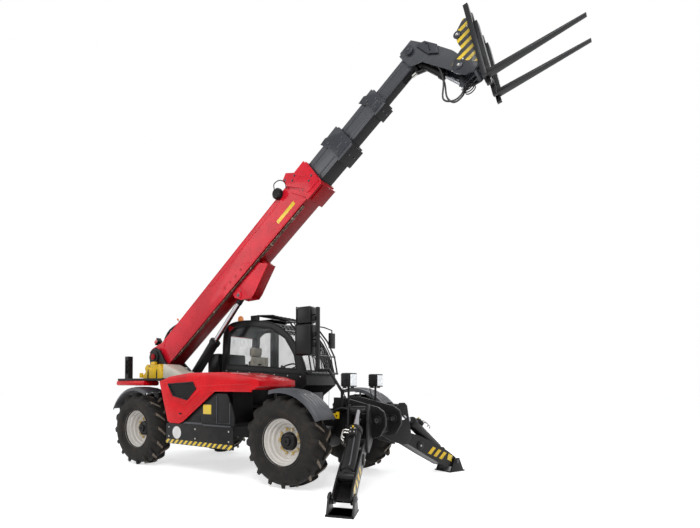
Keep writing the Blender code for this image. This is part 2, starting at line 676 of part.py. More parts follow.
def chassis_frame(shop, paint):
    solids = []
    for sign in (-1, 1):
        solids.append(shop.box(*sided(
            (RAIL_REAR, RAIL_INNER_Y, RAIL_BOTTOM), (RAIL_FRONT, RAIL_OUTER_Y, RAIL_TOP), sign)))
        seat_low = TYRE_RADIUS + AXLE_TUBE_RADIUS + SEAT_GAP
        for axle in (0.0, -WHEELBASE):
            solids.append(shop.box(*sided(
                (axle - AXLE_SEAT_X, RAIL_INNER_Y + PLATE / 2, seat_low),
                (axle + AXLE_SEAT_X, AXLE_SEAT_Y, RAIL_BOTTOM + PLATE), sign)))
        tower = placed(TOWER_SHARES, (TOWER_REAR, TOWER_BASE), (TOWER_LENGTH, TOWER_HEIGHT))
        low, high = sorted((sign * TOWER_INNER_Y, sign * (TOWER_INNER_Y + TOWER_PLATE)))
        solids.append(shop.plate(tower, low, high))
        base_half = BOOM_SECTIONS[0][1] / 2
        solids.append(shop.cylinder(
            (BOOM_PIVOT_X, sign * (base_half + SEAT_GAP), BOOM_PIVOT_Z),
            (BOOM_PIVOT_X, sign * (TOWER_INNER_Y + TOWER_PLATE + PIVOT_CAP), BOOM_PIVOT_Z), PIVOT_RADIUS))
        solids.append(shop.box(*sided(
            (DECK_REAR, TOWER_INNER_Y, DECK_TOP - DECK_PLATE), (DECK_FRONT, DECK_HALF_WIDTH, DECK_TOP), sign)))
        nose = placed(NOSE_SHARES, (NOSE_REAR, NOSE_BOTTOM), (NOSE_LENGTH, NOSE_HEIGHT))
        low, high = sorted((sign * NOSE_INNER_Y, sign * (NOSE_INNER_Y + NOSE_PLATE)))
        solids.append(shop.plate(nose, low, high))
        ear_outer = LIFT_EAR_INNER + LIFT_EAR_PLATE
        solids.append(shop.box(*sided(
            (LIFT_BASE_X - LIFT_EAR_RADIUS, LIFT_EAR_INNER, RAIL_TOP - PLATE),
            (LIFT_BASE_X + LIFT_EAR_RADIUS, ear_outer, LIFT_BASE_Z), sign)))
        solids.append(shop.cylinder(
            (LIFT_BASE_X, sign * LIFT_EAR_INNER, LIFT_BASE_Z), (LIFT_BASE_X, sign * ear_outer, LIFT_BASE_Z),
            LIFT_EAR_RADIUS))
        solids.extend(stabiliser_ears(shop, sign))
    solids.append(shop.box(
        (POST_X, POST_Y - POST_WIDTH / 2, DECK_TOP - PLATE),
        (POST_X + POST_WIDTH, POST_Y + POST_WIDTH / 2, DECK_TOP + POST_HEIGHT)))
    for place in CROSS_PLACES:
        solids.append(shop.box(
            (place - CROSS_LENGTH / 2, -RAIL_INNER_Y - PLATE, RAIL_BOTTOM + PLATE),
            (place + CROSS_LENGTH / 2, RAIL_INNER_Y + PLATE, RAIL_TOP - PLATE)))
    solids.append(shop.box(
        (RAIL_REAR, -RAIL_INNER_Y - PLATE, RAIL_BOTTOM + PLATE + PLATE),
        (LIFT_BASE_X + CROSS_LENGTH, RAIL_INNER_Y + PLATE, RAIL_TOP - PLATE / 2)))
    solids.append(shop.box(
        (BELLY_REAR, -RAIL_INNER_Y - PLATE, BELLY_BOTTOM), (BELLY_FRONT, RAIL_INNER_Y + PLATE, RAIL_BOTTOM + PLATE)))
    for reach, sign in ((PLATFORM_RIGHT_Y, -1), (PLATFORM_LEFT_Y, 1)):
        solids.append(shop.box(*sided(
            (PLATFORM_REAR, RAIL_INNER_Y + 2 * PLATE, PLATFORM_TOP - PLATFORM_DEPTH),
            (PLATFORM_FRONT, reach, PLATFORM_TOP), sign)))
    box_outline = placed(NOSE_BOX_SHARES, (NOSE_REAR, NOSE_BOTTOM), (NOSE_LENGTH, NOSE_HEIGHT))
    solids.append(shop.plate(box_outline, -NOSE_INNER_Y - PLATE, NOSE_INNER_Y + PLATE))
    for place in HINGE_POST_X:
        solids.append(shop.box(
            (place - HINGE_POST_WIDTH / 2, -BONNET_INNER_Y + SEAT_GAP, RAIL_TOP - PLATE),
            (place + HINGE_POST_WIDTH / 2, -BONNET_INNER_Y + HINGE_POST_DEPTH, HINGE_POST_TOP)))
    hole = placed((NOSE_HOLE_SHARE,), (NOSE_REAR, NOSE_BOTTOM), (NOSE_LENGTH, NOSE_HEIGHT))[0]
    cuts = [shop.cylinder((hole[0], -1, hole[1]), (hole[0], 1, hole[1]), NOSE_HOLE_RADIUS, 16)]
    return shop.piece("chassis_frame", solids, paint, cuts=cuts)


def stabiliser_frame(sign):
    """The plane in which a leg swings: local X outwards, local Z up."""
    turn = math.radians(STAB_TURN) * sign
    return Matrix.Translation((STAB_X, sign * STAB_Y, 0)) @ Matrix.Rotation(turn, 4, "Z")


def stabiliser_ears(shop, sign):
    frame = stabiliser_frame(sign)
    height = STAB_ROD_PIN[1] - STAB_HINGE[1]
    outline = placed(STAB_EAR_SHARES, (STAB_HINGE[0] - STAB_EAR_REACH, STAB_HINGE[1]), (STAB_EAR_REACH, height))
    solids = []
    for side in (-1, 1):
        low, high = sorted((side * STAB_EAR_INNER, side * (STAB_EAR_INNER + STAB_EAR_PLATE)))
        solids.append(shop.moved(shop.plate(outline, low, high), frame))
        start = (STAB_ROD_PIN[0], side * (STAB_SIZE["rod_half"] + SEAT_GAP), STAB_ROD_PIN[1])
        end = (STAB_ROD_PIN[0], side * (STAB_EAR_INNER + PLATE), STAB_ROD_PIN[1])
        solids.append(shop.moved(shop.cylinder(start, end, STAB_BOSS_RADIUS, 16), frame))
    return solids


def counterweight(shop, paint):
    body = shop.box(
        (COUNTERWEIGHT_REAR, -COUNTERWEIGHT_HALF_WIDTH, COUNTERWEIGHT_BOTTOM),
        (RAIL_REAR - SEAT_GAP, COUNTERWEIGHT_HALF_WIDTH, COUNTERWEIGHT_TOP), COUNTERWEIGHT_ROUND)
    hitch_bottom = COUNTERWEIGHT_BOTTOM + COUNTERWEIGHT_ROUND
    hitch = shop.box(
        (COUNTERWEIGHT_REAR - HITCH_LENGTH, -HITCH_HALF_WIDTH, hitch_bottom),
        (COUNTERWEIGHT_REAR + PLATE, HITCH_HALF_WIDTH, hitch_bottom + HITCH_HEIGHT))
    return shop.piece("counterweight", [body, hitch], paint)


def axle(shop, name, place, paint):
    """A solid axle beam with its differential and the yokes that hold the knuckles."""
    solids = [
        shop.cylinder((place, -AXLE_EAR_Y, TYRE_RADIUS), (place, AXLE_EAR_Y, TYRE_RADIUS), AXLE_TUBE_RADIUS, 16),
        shop.cylinder(
            (place, -DIFF_LENGTH / 2, TYRE_RADIUS), (place, DIFF_LENGTH / 2, TYRE_RADIUS), DIFF_RADIUS, 20),
    ]
    for sign in (-1, 1):
        solids.append(shop.box(*sided(
            (place - EAR_HALF, AXLE_EAR_Y - HEAVY_PLATE, TYRE_RADIUS - EAR_RISE - HEAVY_PLATE),
            (place + EAR_HALF, YOKE_Y, TYRE_RADIUS + EAR_RISE + HEAVY_PLATE), sign)))
        for rise in (-1, 1):
            low, high = sorted((rise * EAR_RISE, rise * (EAR_RISE + HEAVY_PLATE)))
            solids.append(shop.box(*sided(
                (place - EAR_HALF, AXLE_EAR_Y - HEAVY_PLATE, TYRE_RADIUS + low),
                (place + EAR_HALF, KINGPIN_Y + EAR_REACH, TYRE_RADIUS + high), sign)))
    return shop.piece(name, solids, paint)


def knuckle(shop, name, joint, sign, paint):
    hub_end = WHEEL_Y - KINGPIN_Y + RIM_WIDTH / 2 * RIM_BACK_SHARE - SEAT_GAP
    hub = shop.cylinder(
        (0, sign * (HUB_INNER_Y - KINGPIN_Y), 0), (0, sign * hub_end, 0), HUB_RADIUS, 20)
    king = shop.cylinder((0, 0, -EAR_RISE + SEAT_GAP), (0, 0, EAR_RISE - SEAT_GAP), KINGPIN_RADIUS, 16)
    arm_low, arm_high = sorted((0.0, sign * BRACKET_WIDTH))
    arm = shop.box((0, arm_low, -KINGPIN_RADIUS), (BRACKET_X, arm_high, KINGPIN_RADIUS))
    return shop.piece(name, [hub, king, arm], paint, joint)


def fender(shop, name, joint, sign, arc, paint):
    """A shell bent round the tyre, on a strap from the knuckle."""
    start, end = arc
    steps = math.ceil((end - start) / FENDER_STEP_ANGLE)
    width = FENDER_OUTER_Y - FENDER_INNER_Y
    inner = FENDER_INNER_Y - KINGPIN_Y
    mesh = bpy.data.meshes.new("fender")
    shape = bmesh.new()
    rows = []
    for step in range(steps + 1):
        angle = math.radians(start + (end - start) * step / steps)
        row = []
        for across, drop in FENDER_CROWN_SHARES:
            radius = FENDER_RADIUS + drop * FENDER_LIP
            place = (radius * math.cos(angle), sign * (inner + across * width), radius * math.sin(angle))
            row.append(shape.verts.new(place))
        rows.append(row)
    for row, following in zip(rows, rows[1:]):
        for index in range(len(row) - 1):
            shape.faces.new((row[index], row[index + 1], following[index + 1], following[index]))
    bmesh.ops.recalc_face_normals(shape, faces=shape.faces)
    shape.to_mesh(mesh)
    shape.free()
    shell = shop.temporary(mesh)
    wall = shell.modifiers.new("wall", "SOLIDIFY")
    wall.thickness = FENDER_SHELL
    wall.offset = 0
    shell = shop.baked(shell)
    top = math.sqrt(FENDER_RADIUS ** 2 - BRACKET_X ** 2)
    low, high = sorted((sign * (BRACKET_WIDTH - BRACKET_THICK), sign * BRACKET_WIDTH))
    strap = shop.box(
        (BRACKET_X + SEAT_GAP, low, -KINGPIN_RADIUS), (BRACKET_X + PLATE, high, top - PLATE))
    return shop.piece(name, [shell, strap], paint, joint)


def rim(shop, name, joint, paint):
    profile = [(u * RIM_RADIUS, v * RIM_WIDTH / 2) for u, v in RIM_PROFILE_SHARES]
    return shop.piece(name, [shop.turned(profile, RIM_STEPS)], paint, joint)


def faceted_radius(radius, angle):
    """The distance out to the flat side of the rim's many-sided bead seat."""
    half = math.pi / RIM_STEPS
    return radius * math.cos(half) / math.cos(angle % (2 * half) - half)


def tyre(shop, name, joint, paint):
    """A ring lofted through groove and lug sections, whose bead follows the rim's facets."""
    bead = RIM_RADIUS * RIM_SEAT_SHARE + SEAT_GAP
    depth = TYRE_RADIUS - bead
    pitch = math.tau / TYRE_LUGS
    rows = list(TYRE_ROW_SHARES) + [(a, b, -across, slant) for a, b, across, slant in reversed(TYRE_ROW_SHARES)]
    shape = bmesh.new()
    rings = []
    for lug in range(TYRE_LUGS):
        for at, raised in TYRE_STATION_SHARES:
            ring = []
            for groove, crown, across, slant in rows:
                angle = (lug + at + slant) * pitch
                radius = bead + (crown if raised else groove) * depth
                if not groove:
                    radius = faceted_radius(bead, angle)
                ring.append(shape.verts.new(
                    (radius * math.cos(angle), radius * math.sin(angle), across * TYRE_WIDTH / 2)))
            rings.append(ring)
    for ring, following in zip(rings, rings[1:] + rings[:1]):
        for index in range(len(ring)):
            other = (index + 1) % len(ring)
            shape.faces.new((ring[index], ring[other], following[other], following[index]))
    bmesh.ops.recalc_face_normals(shape, faces=shape.faces)
    mesh = bpy.data.meshes.new("tyre")
    shape.to_mesh(mesh)
    shape.free()
    return shop.piece(name, [shop.temporary(mesh)], paint, joint)


def wheel_set(shop, finishes):
    """The four steered wheels: knuckle, fender, rim and tyre at each end of the axles."""
    for axle_name, place in (("front", 0.0), ("rear", -WHEELBASE)):
        for side, sign in (("right", -1), ("left", 1)):
            corner = f"{axle_name}_{side}"
            steer = shop.joint(f"steer_{corner}", (place, sign * KINGPIN_Y, TYRE_RADIUS))
            upright = Matrix.Rotation(-sign * math.pi / 2, 4, "X")
            spin = shop.joint(f"spin_{corner}", (0, sign * (WHEEL_Y - KINGPIN_Y), 0), steer, upright)
            knuckle(shop, f"knuckle_{corner}", steer, sign, finishes["black"])
            fender(shop, f"fender_{corner}", steer, sign, FENDER_ARCS[axle_name], finishes["plastic"])
            rim(shop, f"rim_{corner}", spin, finishes["silver"])
            tyre(shop, f"tyre_{corner}", spin, finishes["rubber"])


def body_sides(shop, finishes):
    """Engine, right-hand skirt, left-hand tank."""
    engine = shop.box(
        (ENGINE_REAR, ENGINE_Y, PLATFORM_TOP + SEAT_GAP),
        (ENGINE_REAR + ENGINE_LENGTH, ENGINE_Y + ENGINE_WIDTH, PLATFORM_TOP + ENGINE_HEIGHT))
    shop.piece("engine", [engine], finishes["grey"])
    length = SKIRT_FRONT - SKIRT_REAR
    skirt = shop.box(
        (SKIRT_REAR, -SKIRT_Y, SKIRT_BOTTOM), (SKIRT_FRONT, -SKIRT_Y + SKIRT_PLATE, SKIRT_TOP))
    back = shop.box(
        (PLATFORM_REAR, -SKIRT_Y + PLATE / 2, PLATFORM_TOP - PLATFORM_DEPTH),
        (PLATFORM_FRONT - PLATE, -PLATFORM_RIGHT_Y - SEAT_GAP, SKIRT_TOP + PLATE))
    outline = placed(FASCIA_SHARES, (SKIRT_REAR, SKIRT_TOP - PLATE), (length, FASCIA_TOP - SKIRT_TOP + PLATE))
    fascia = shop.plate(outline, -FASCIA_Y, -FASCIA_Y + SKIRT_PLATE)
    step = shop.box(
        (SKIRT_REAR + STEP_SHARE[0] * length, -FASCIA_Y - PLATE, SKIRT_TOP - PLATE),
        (SKIRT_REAR + STEP_SHARE[1] * length, -FASCIA_Y + PLATE, SKIRT_TOP + PLATE))
    shop.piece("side_skirt", [skirt, back, fascia, step], finishes["black"])
    tank = shop.box(
        (TANK_REAR, TANK_INNER_Y, TANK_BOTTOM),
        (TANK_REAR + TANK_LENGTH, PLATFORM_LEFT_Y, PLATFORM_TOP - PLATFORM_DEPTH - SEAT_GAP), TANK_ROUND)
    shop.piece("left_tank", [tank], finishes["black"])


def bonnet(shop, finishes):
    """The right-hand engine cover, hinged along its inner edge, with its grille."""
    joint = shop.joint("open_bonnet", (BONNET_REAR, -BONNET_INNER_Y, BONNET_HINGE_Z))
    corner = (0.0, BONNET_BOTTOM - BONNET_HINGE_Z)
    size = (BONNET_LENGTH, BONNET_HEIGHT)
    outline = placed(BONNET_SHARES, corner, size)
    outer = BONNET_INNER_Y - BONNET_OUTER_Y
    shell = shop.plate(outline, outer, 0.0)
    top = BONNET_BOTTOM + BONNET_HEIGHT - BONNET_HINGE_Z
    lip = BONNET_LIP - BONNET_HINGE_Z
    hollow_outline = inset(outline, BONNET_WALL)
    hollow = shop.plate(hollow_outline, outer + BONNET_WALL, -BONNET_WALL)
    under = shop.box(
        (-OVERRUN, outer + BONNET_WALL, corner[1] - OVERRUN), (BONNET_LENGTH + OVERRUN, OVERRUN, lip - OVERRUN))
    window = shop.plate(placed(GRILLE_SHARES, corner, size), outer - OVERRUN, outer + 2 * BONNET_WALL)
    shop.piece("bonnet", [shell], finishes["red"], joint, cuts=[hollow, under, window])
    lapped = inset(placed(GRILLE_SHARES, corner, size), -GRILLE_LAP)
    back = outer + BONNET_WALL + SEAT_GAP
    grille = shop.plate(lapped, back, back + GRILLE_PLATE)
    shop.piece("bonnet_grille", [grille], finishes["black"], joint)
    return top


def door_hinge(shop, place, side):
    """Half a door hinge: the knuckle and strap of the door (side 1) or of the cab (side -1)."""
    x, y, z = place
    near, far = (SEAT_GAP, DOOR_HINGE_HALF) if side > 0 else (-DOOR_HINGE_HALF, -SEAT_GAP)
    radius = DOOR_HINGE_RADIUS
    edge = SWING_GAP * 2
    strap = sorted((x, x + side * DOOR_HINGE_STRAP))
    pad = sorted((x + side * edge, x + side * DOOR_HINGE_STRAP))
    return [
        shop.cylinder((x, y, z + near), (x, y, z + far), radius, 12),
        shop.box((strap[0], y - radius * 0.8, z + near), (strap[1], y, z + far)),
        shop.box((pad[0], y - DOOR_HINGE_OUT - CAB_WALL / 4, z + near), (pad[1], y - radius / 2, z + far)),
    ]


def cab(shop, finishes):
    """The hollow cab with its windows cut, its door, seat and controls."""
    corner = (CAB_REAR, CAB_FLOOR)
    size = (CAB_LENGTH, CAB_HEIGHT)
    outline = placed(CAB_SHARES, corner, size)
    shell = shop.plate(outline, CAB_INNER_Y, CAB_OUTER_Y)
    room = shop.plate(inset(outline, CAB_WALL), CAB_INNER_Y + CAB_WALL, CAB_OUTER_Y - CAB_WALL)
    across = (
        (RIGHT_WINDOW_SHARES, CAB_INNER_Y - OVERRUN, CAB_INNER_Y + CAB_WALL + SWING_GAP),
        (FRONT_WINDOW_SHARES, CAB_INNER_Y + CAB_WALL, CAB_OUTER_Y - CAB_WALL),
        (REAR_WINDOW_SHARES, CAB_INNER_Y + 2 * CAB_WALL, CAB_OUTER_Y - 2 * CAB_WALL),
        (LEFT_WINDOW_SHARES, CAB_OUTER_Y - CAB_WALL - SWING_GAP, CAB_OUTER_Y + OVERRUN),
        (DOOR_SHARES, CAB_OUTER_Y - CAB_WALL - SWING_GAP, CAB_OUTER_Y + OVERRUN),
    )
    cuts = [room] + [shop.plate(placed(shares, corner, size), low, high) for shares, low, high in across]
    hinge_x = CAB_REAR + DOOR_SHARES[0][0] * CAB_LENGTH
    fixed = [solid for height in DOOR_HINGE_HEIGHTS for solid in door_hinge(
        shop, (hinge_x, CAB_OUTER_Y + DOOR_HINGE_OUT, CAB_FLOOR + height), -1)]
    joint = shop.joint("open_door", (hinge_x, CAB_OUTER_Y + DOOR_HINGE_OUT, CAB_FLOOR))
    shop.piece("cab_shell", [shell] + fixed, finishes["black"], cuts=cuts)
    local = (CAB_REAR - hinge_x, 0.0)
    leaf = shop.plate(inset(placed(DOOR_SHARES, local, size), SWING_GAP),
                      SWING_GAP - CAB_WALL - DOOR_HINGE_OUT, -DOOR_HINGE_OUT)
    glass = shop.plate(placed(DOOR_WINDOW_SHARES, local, size), -CAB_WALL - OVERRUN - DOOR_HINGE_OUT, OVERRUN)
    swung = [solid for height in DOOR_HINGE_HEIGHTS for solid in door_hinge(shop, (0, 0, height), 1)]
    shop.piece("cab_door", [leaf] + swung, finishes["black"], joint, cuts=[glass])
    floor = CAB_FLOOR + CAB_WALL + SEAT_GAP
    base_top = floor + SEAT_BASE_HEIGHT
    seat = [
        shop.box((SEAT_X + PLATE, SEAT_Y + PLATE, floor),
                 (SEAT_X + SEAT_LENGTH - PLATE, SEAT_Y + SEAT_WIDTH - PLATE, base_top + PLATE)),
        shop.box((SEAT_X, SEAT_Y, base_top), (SEAT_X + SEAT_LENGTH, SEAT_Y + SEAT_WIDTH, base_top + SEAT_CUSHION),
                 SEAT_ROUND),
        shop.box((SEAT_X, SEAT_Y + PLATE, base_top + PLATE),
                 (SEAT_X + SEAT_CUSHION, SEAT_Y + SEAT_WIDTH - PLATE, base_top + SEAT_BACK_HEIGHT), SEAT_ROUND),
    ]
    mat = shop.box((CAB_REAR + 5 * CAB_WALL, CAB_INNER_Y + 2 * CAB_WALL, floor),
                   (CONSOLE_X + CONSOLE_LENGTH, CAB_OUTER_Y - 3 * CAB_WALL, floor + PLATE))
    console = placed(CONSOLE_SHARES, (CONSOLE_X, floor), (CONSOLE_LENGTH, CONSOLE_HEIGHT))
    middle = SEAT_Y + SEAT_WIDTH / 2
    column_top = (CONSOLE_X - CONSOLE_LENGTH / 3, middle, floor + CONSOLE_HEIGHT + STEERING_LIFT / 3)
    column = shop.cylinder(
        (CONSOLE_X + CONSOLE_LENGTH / 2, middle, floor + CONSOLE_HEIGHT / 2), column_top, STEERING_GRIP * 2, 12)
    tilt = Vector((0, 0, 1)).rotation_difference(
        Vector(column_top) - Vector((CONSOLE_X + CONSOLE_LENGTH / 2, middle, floor + CONSOLE_HEIGHT / 2)))
    profile = [(STEERING_RADIUS, STEERING_GRIP), (STEERING_RADIUS, -STEERING_GRIP), (0.0, -STEERING_GRIP)]
    wheel = shop.turned([(0.0, STEERING_GRIP)] + profile, 20)
    shop.moved(wheel, Matrix.Translation(column_top) @ tilt.to_matrix().to_4x4())
    controls = [mat, shop.plate(console, CAB_INNER_Y + 2 * CAB_WALL, CAB_OUTER_Y - 3 * CAB_WALL), column, wheel]
    shop.piece("cab_interior", controls + seat, finishes["grey"])
    roof = CAB_FLOOR + CAB_HEIGHT + SEAT_GAP
    beacon = [
        shop.cylinder((BEACON_X + PLATE, BEACON_Y, roof), (BEACON_X + PLATE, BEACON_Y, roof + BEACON_HEIGHT / 3),
                      BEACON_RADIUS, 16),
        shop.cylinder((BEACON_X + PLATE, BEACON_Y, roof + BEACON_HEIGHT / 4),
                      (BEACON_X + PLATE, BEACON_Y, roof + BEACON_HEIGHT), BEACON_RADIUS * 0.8, 16),
    ]
    shop.piece("beacon", beacon, finishes["yellow"])


def windscreen_guard(shop, finishes):
    """Bars in front of the windscreen, on feet at the roof and below the glass."""
    path = placed(GUARD_SHARES, (CAB_REAR, CAB_FLOOR), (CAB_LENGTH, CAB_HEIGHT))
    solids = []
    for index in range(GUARD_BARS):
        across = GUARD_INNER_Y + (GUARD_OUTER_Y - GUARD_INNER_Y) * index / (GUARD_BARS - 1)
        radius = GUARD_RAIL_RADIUS if index in (0, GUARD_BARS - 1) else GUARD_BAR_RADIUS
        solids.append(shop.tube([(x, across, z) for x, z in path], radius, 0))
    for at in GUARD_RAIL_AT:
        x, z = path[at]
        solids.append(shop.tube(
            [(x, GUARD_INNER_Y - PLATE, z), (x, GUARD_OUTER_Y + PLATE, z)], GUARD_RAIL_RADIUS * 0.9, 0))
    roof = CAB_FLOOR + CAB_HEIGHT + SEAT_GAP
    top = path[0]
    for across in (GUARD_INNER_Y, GUARD_OUTER_Y):
        foot_x = CAB_REAR + (CAB_SHARES[6][0] - BOOM_PAD) * CAB_LENGTH
        solids.append(shop.box(
            (foot_x - PLATE, across - PLATE, roof), (top[0] + PLATE, across + PLATE, top[1] + PLATE / 2)))
        front_x = CAB_REAR + GUARD_FOOT_SHARE * CAB_LENGTH
        low = path[-1]
        solids.append(shop.box(
            (front_x, across - PLATE, low[1] - PLATE), (low[0] + PLATE / 2, across + PLATE, low[1])))
    shop.piece("windscreen_guard", solids[:], finishes["black"])


def mirrors(shop, finishes):
    half = MIRROR_POST_WIDTH / 2
    nose_y = -(NOSE_INNER_Y + NOSE_PLATE) - SEAT_GAP
    foot_x, foot_z = placed(((0.22, 0.80),), (NOSE_REAR, NOSE_BOTTOM), (NOSE_LENGTH, NOSE_HEIGHT))[0]
    bend = (foot_x, MIRROR_POST_Y, foot_z + 2 * half * 4)
    solids = [
        shop.box((MIRROR_POST_X - half, MIRROR_POST_Y - half, MIRROR_POST_BEND),
                 (MIRROR_POST_X + half, MIRROR_POST_Y + half, MIRROR_POST_TOP)),
        shop.tube([(MIRROR_POST_X - half, MIRROR_POST_Y, MIRROR_POST_BEND),
                   (MIRROR_POST_ELBOW_X, MIRROR_POST_Y, MIRROR_POST_BEND), bend,
                   (foot_x, MIRROR_POST_Y, foot_z - half)], half * 0.9),
        shop.box((foot_x - half, MIRROR_POST_Y - half / 2, foot_z - half), (foot_x + half, nose_y, foot_z + half)),
    ]
    for _, low_x, high_x, low_z, high_z, width, _ in MIRROR_SHARES:
        low_y = MIRROR_POST_Y - width / 2
        solids.append(shop.box((low_x, low_y, low_z), (high_x, low_y + width, high_z), MIRROR_ROUND))
        arm_z = (low_z + high_z) / 2
        solids.append(shop.cylinder(
            (high_x - half, MIRROR_POST_Y, arm_z), (MIRROR_POST_X, MIRROR_POST_Y, arm_z), MIRROR_ARM_RADIUS, 8))
    shop.piece("mirror_post", solids, finishes["black"])
    guard = placed(GUARD_SHARES, (CAB_REAR, CAB_FLOOR), (CAB_LENGTH, CAB_HEIGHT))[GUARD_RAIL_AT[1]]
    start_y = GUARD_OUTER_Y + PLATE + SEAT_GAP
    size = LEFT_MIRROR_SIZE
    low = [LEFT_MIRROR_X - size[0] / 2, LEFT_MIRROR_Y - size[1] / 2, LEFT_MIRROR_Z - size[2] / 2]
    high = [a + b for a, b in zip(low, size)]
    foot = (guard[0], start_y, guard[1])
    arm = shop.tube([foot, (guard[0], LEFT_MIRROR_Y, guard[1]),
                     (LEFT_MIRROR_X, LEFT_MIRROR_Y, high[2] + 2 * half), (LEFT_MIRROR_X, LEFT_MIRROR_Y, low[2] + half)],
                    MIRROR_ARM_RADIUS, 2)
    shop.piece("left_mirror", [shop.box(low, high, MIRROR_ROUND / 2), arm], finishes["black"])


def work_lights(shop, finishes):
    for side, sign in (("right", -1), ("left", 1)):
        low = [LAMP_X - LAMP_SIZE[0] / 2, sign * LAMP_Y - LAMP_SIZE[1] / 2, LAMP_Z - LAMP_SIZE[2] / 2]
        high = [a + b for a, b in zip(low, LAMP_SIZE)]
        nose_y = sign * (NOSE_INNER_Y + NOSE_PLATE + SEAT_GAP)
        foot_x, foot_z = placed(((0.40, 0.72),), (NOSE_REAR, NOSE_BOTTOM), (NOSE_LENGTH, NOSE_HEIGHT))[0]
        post = shop.tube([(foot_x, nose_y + sign * LAMP_POST_RADIUS, foot_z),
                          (foot_x, sign * LAMP_Y, foot_z + LAMP_FOOT),
                          (LAMP_X, sign * LAMP_Y, low[2] + PLATE)], LAMP_POST_RADIUS)
        near, far = sorted((nose_y, nose_y + sign * 2 * LAMP_POST_RADIUS))
        foot = shop.box((foot_x - LAMP_FOOT, near, foot_z - LAMP_FOOT), (foot_x + LAMP_FOOT, far, foot_z + LAMP_FOOT))
        shop.piece(f"work_light_{side}", [shop.box(low, high, LAMP_ROUND), post, foot], finishes["black"])


def rear_fittings(shop, finishes):
    """What stands on and under the rear deck."""
    top = DECK_TOP + SEAT_GAP
    chock = placed(CHOCK_SHARES, (CHOCK_X, top), (CHOCK_LENGTH, CHOCK_HEIGHT))
    shop.piece("wheel_chocks", [shop.plate(chock, CHOCK_Y - CHOCK_WIDTH / 2, CHOCK_Y + CHOCK_WIDTH / 2)],
               finishes["yellow"])
    inner_y = -(TOWER_INNER_Y + TOWER_PLATE + SWING_GAP)
    slope = placed(TANK_COVER_SHARES, (TANK_COVER_X, top), (TANK_COVER_LENGTH, TANK_COVER_HEIGHT))
    shop.piece("tank_cover", [shop.plate(slope, inner_y - TANK_COVER_WIDTH, inner_y)], finishes["silver"])
    box = shop.box(
        (REAR_BOX_FRONT - REAR_BOX_LENGTH, REAR_BOX_Y, top),
        (REAR_BOX_FRONT, REAR_BOX_Y + REAR_BOX_WIDTH, DECK_TOP + REAR_BOX_HEIGHT), REAR_BOX_ROUND)
    shop.piece("rear_box", [box], finishes["black"])
    under = DECK_TOP - DECK_PLATE - SEAT_GAP
    for side, sign in (("right", -1), ("left", 1)):
        cover = shop.box(*sided(
            (COVER_REAR, DECK_HALF_WIDTH + POST_WIDTH / 2 - COVER_WIDTH, under - COVER_DROP),
            (COVER_FRONT, DECK_HALF_WIDTH + POST_WIDTH / 2, under), sign), round_by=COVER_ROUND)
        shop.piece(f"rear_cover_{side}", [cover], finishes["red"])


def boom_section(shop, index, joint, finishes):
    """One hollow box section with its collar, bearing pads and end fittings."""
    name, width, depth, rear, front, wall, collar, proud_top, proud_bottom, proud_side = BOOM_SECTIONS[index]
    middle = -BOOM_DROP
    half_w, half_d = width / 2, depth / 2
    solids = [shop.box((rear, -half_w, middle - half_d), (front, half_w, middle + half_d))]
    if proud_top:
        solids.append(shop.box(
            (collar, -half_w - proud_side, middle - half_d - proud_bottom),
            (front - PLATE, half_w + proud_side, middle + half_d + proud_top)))
    cuts = [shop.box((rear - OVERRUN, -half_w + wall, middle - half_d + wall),
                     (front + OVERRUN, half_w - wall, middle + half_d - wall))]
    return name, solids, cuts, half_w, half_d, wall, rear, front


def pads(shop, at, inner, outer, middle):
    """Four bearing blocks that fill the gap between an inner and an outer section."""
    (in_w, in_d), (out_w, out_d) = inner, outer
    long = BOOM_PAD_LENGTH
    made = []
    for sign in (-1, 1):
        low, high = sorted((sign * in_w, sign * out_w))
        made.append(shop.box((at, low, middle - BOOM_PAD), (at + long, high, middle + BOOM_PAD)))
        low, high = sorted((sign * in_d, sign * out_d))
        made.append(shop.box((at, -BOOM_PAD, middle + low), (at + long, BOOM_PAD, middle + high)))
    return made


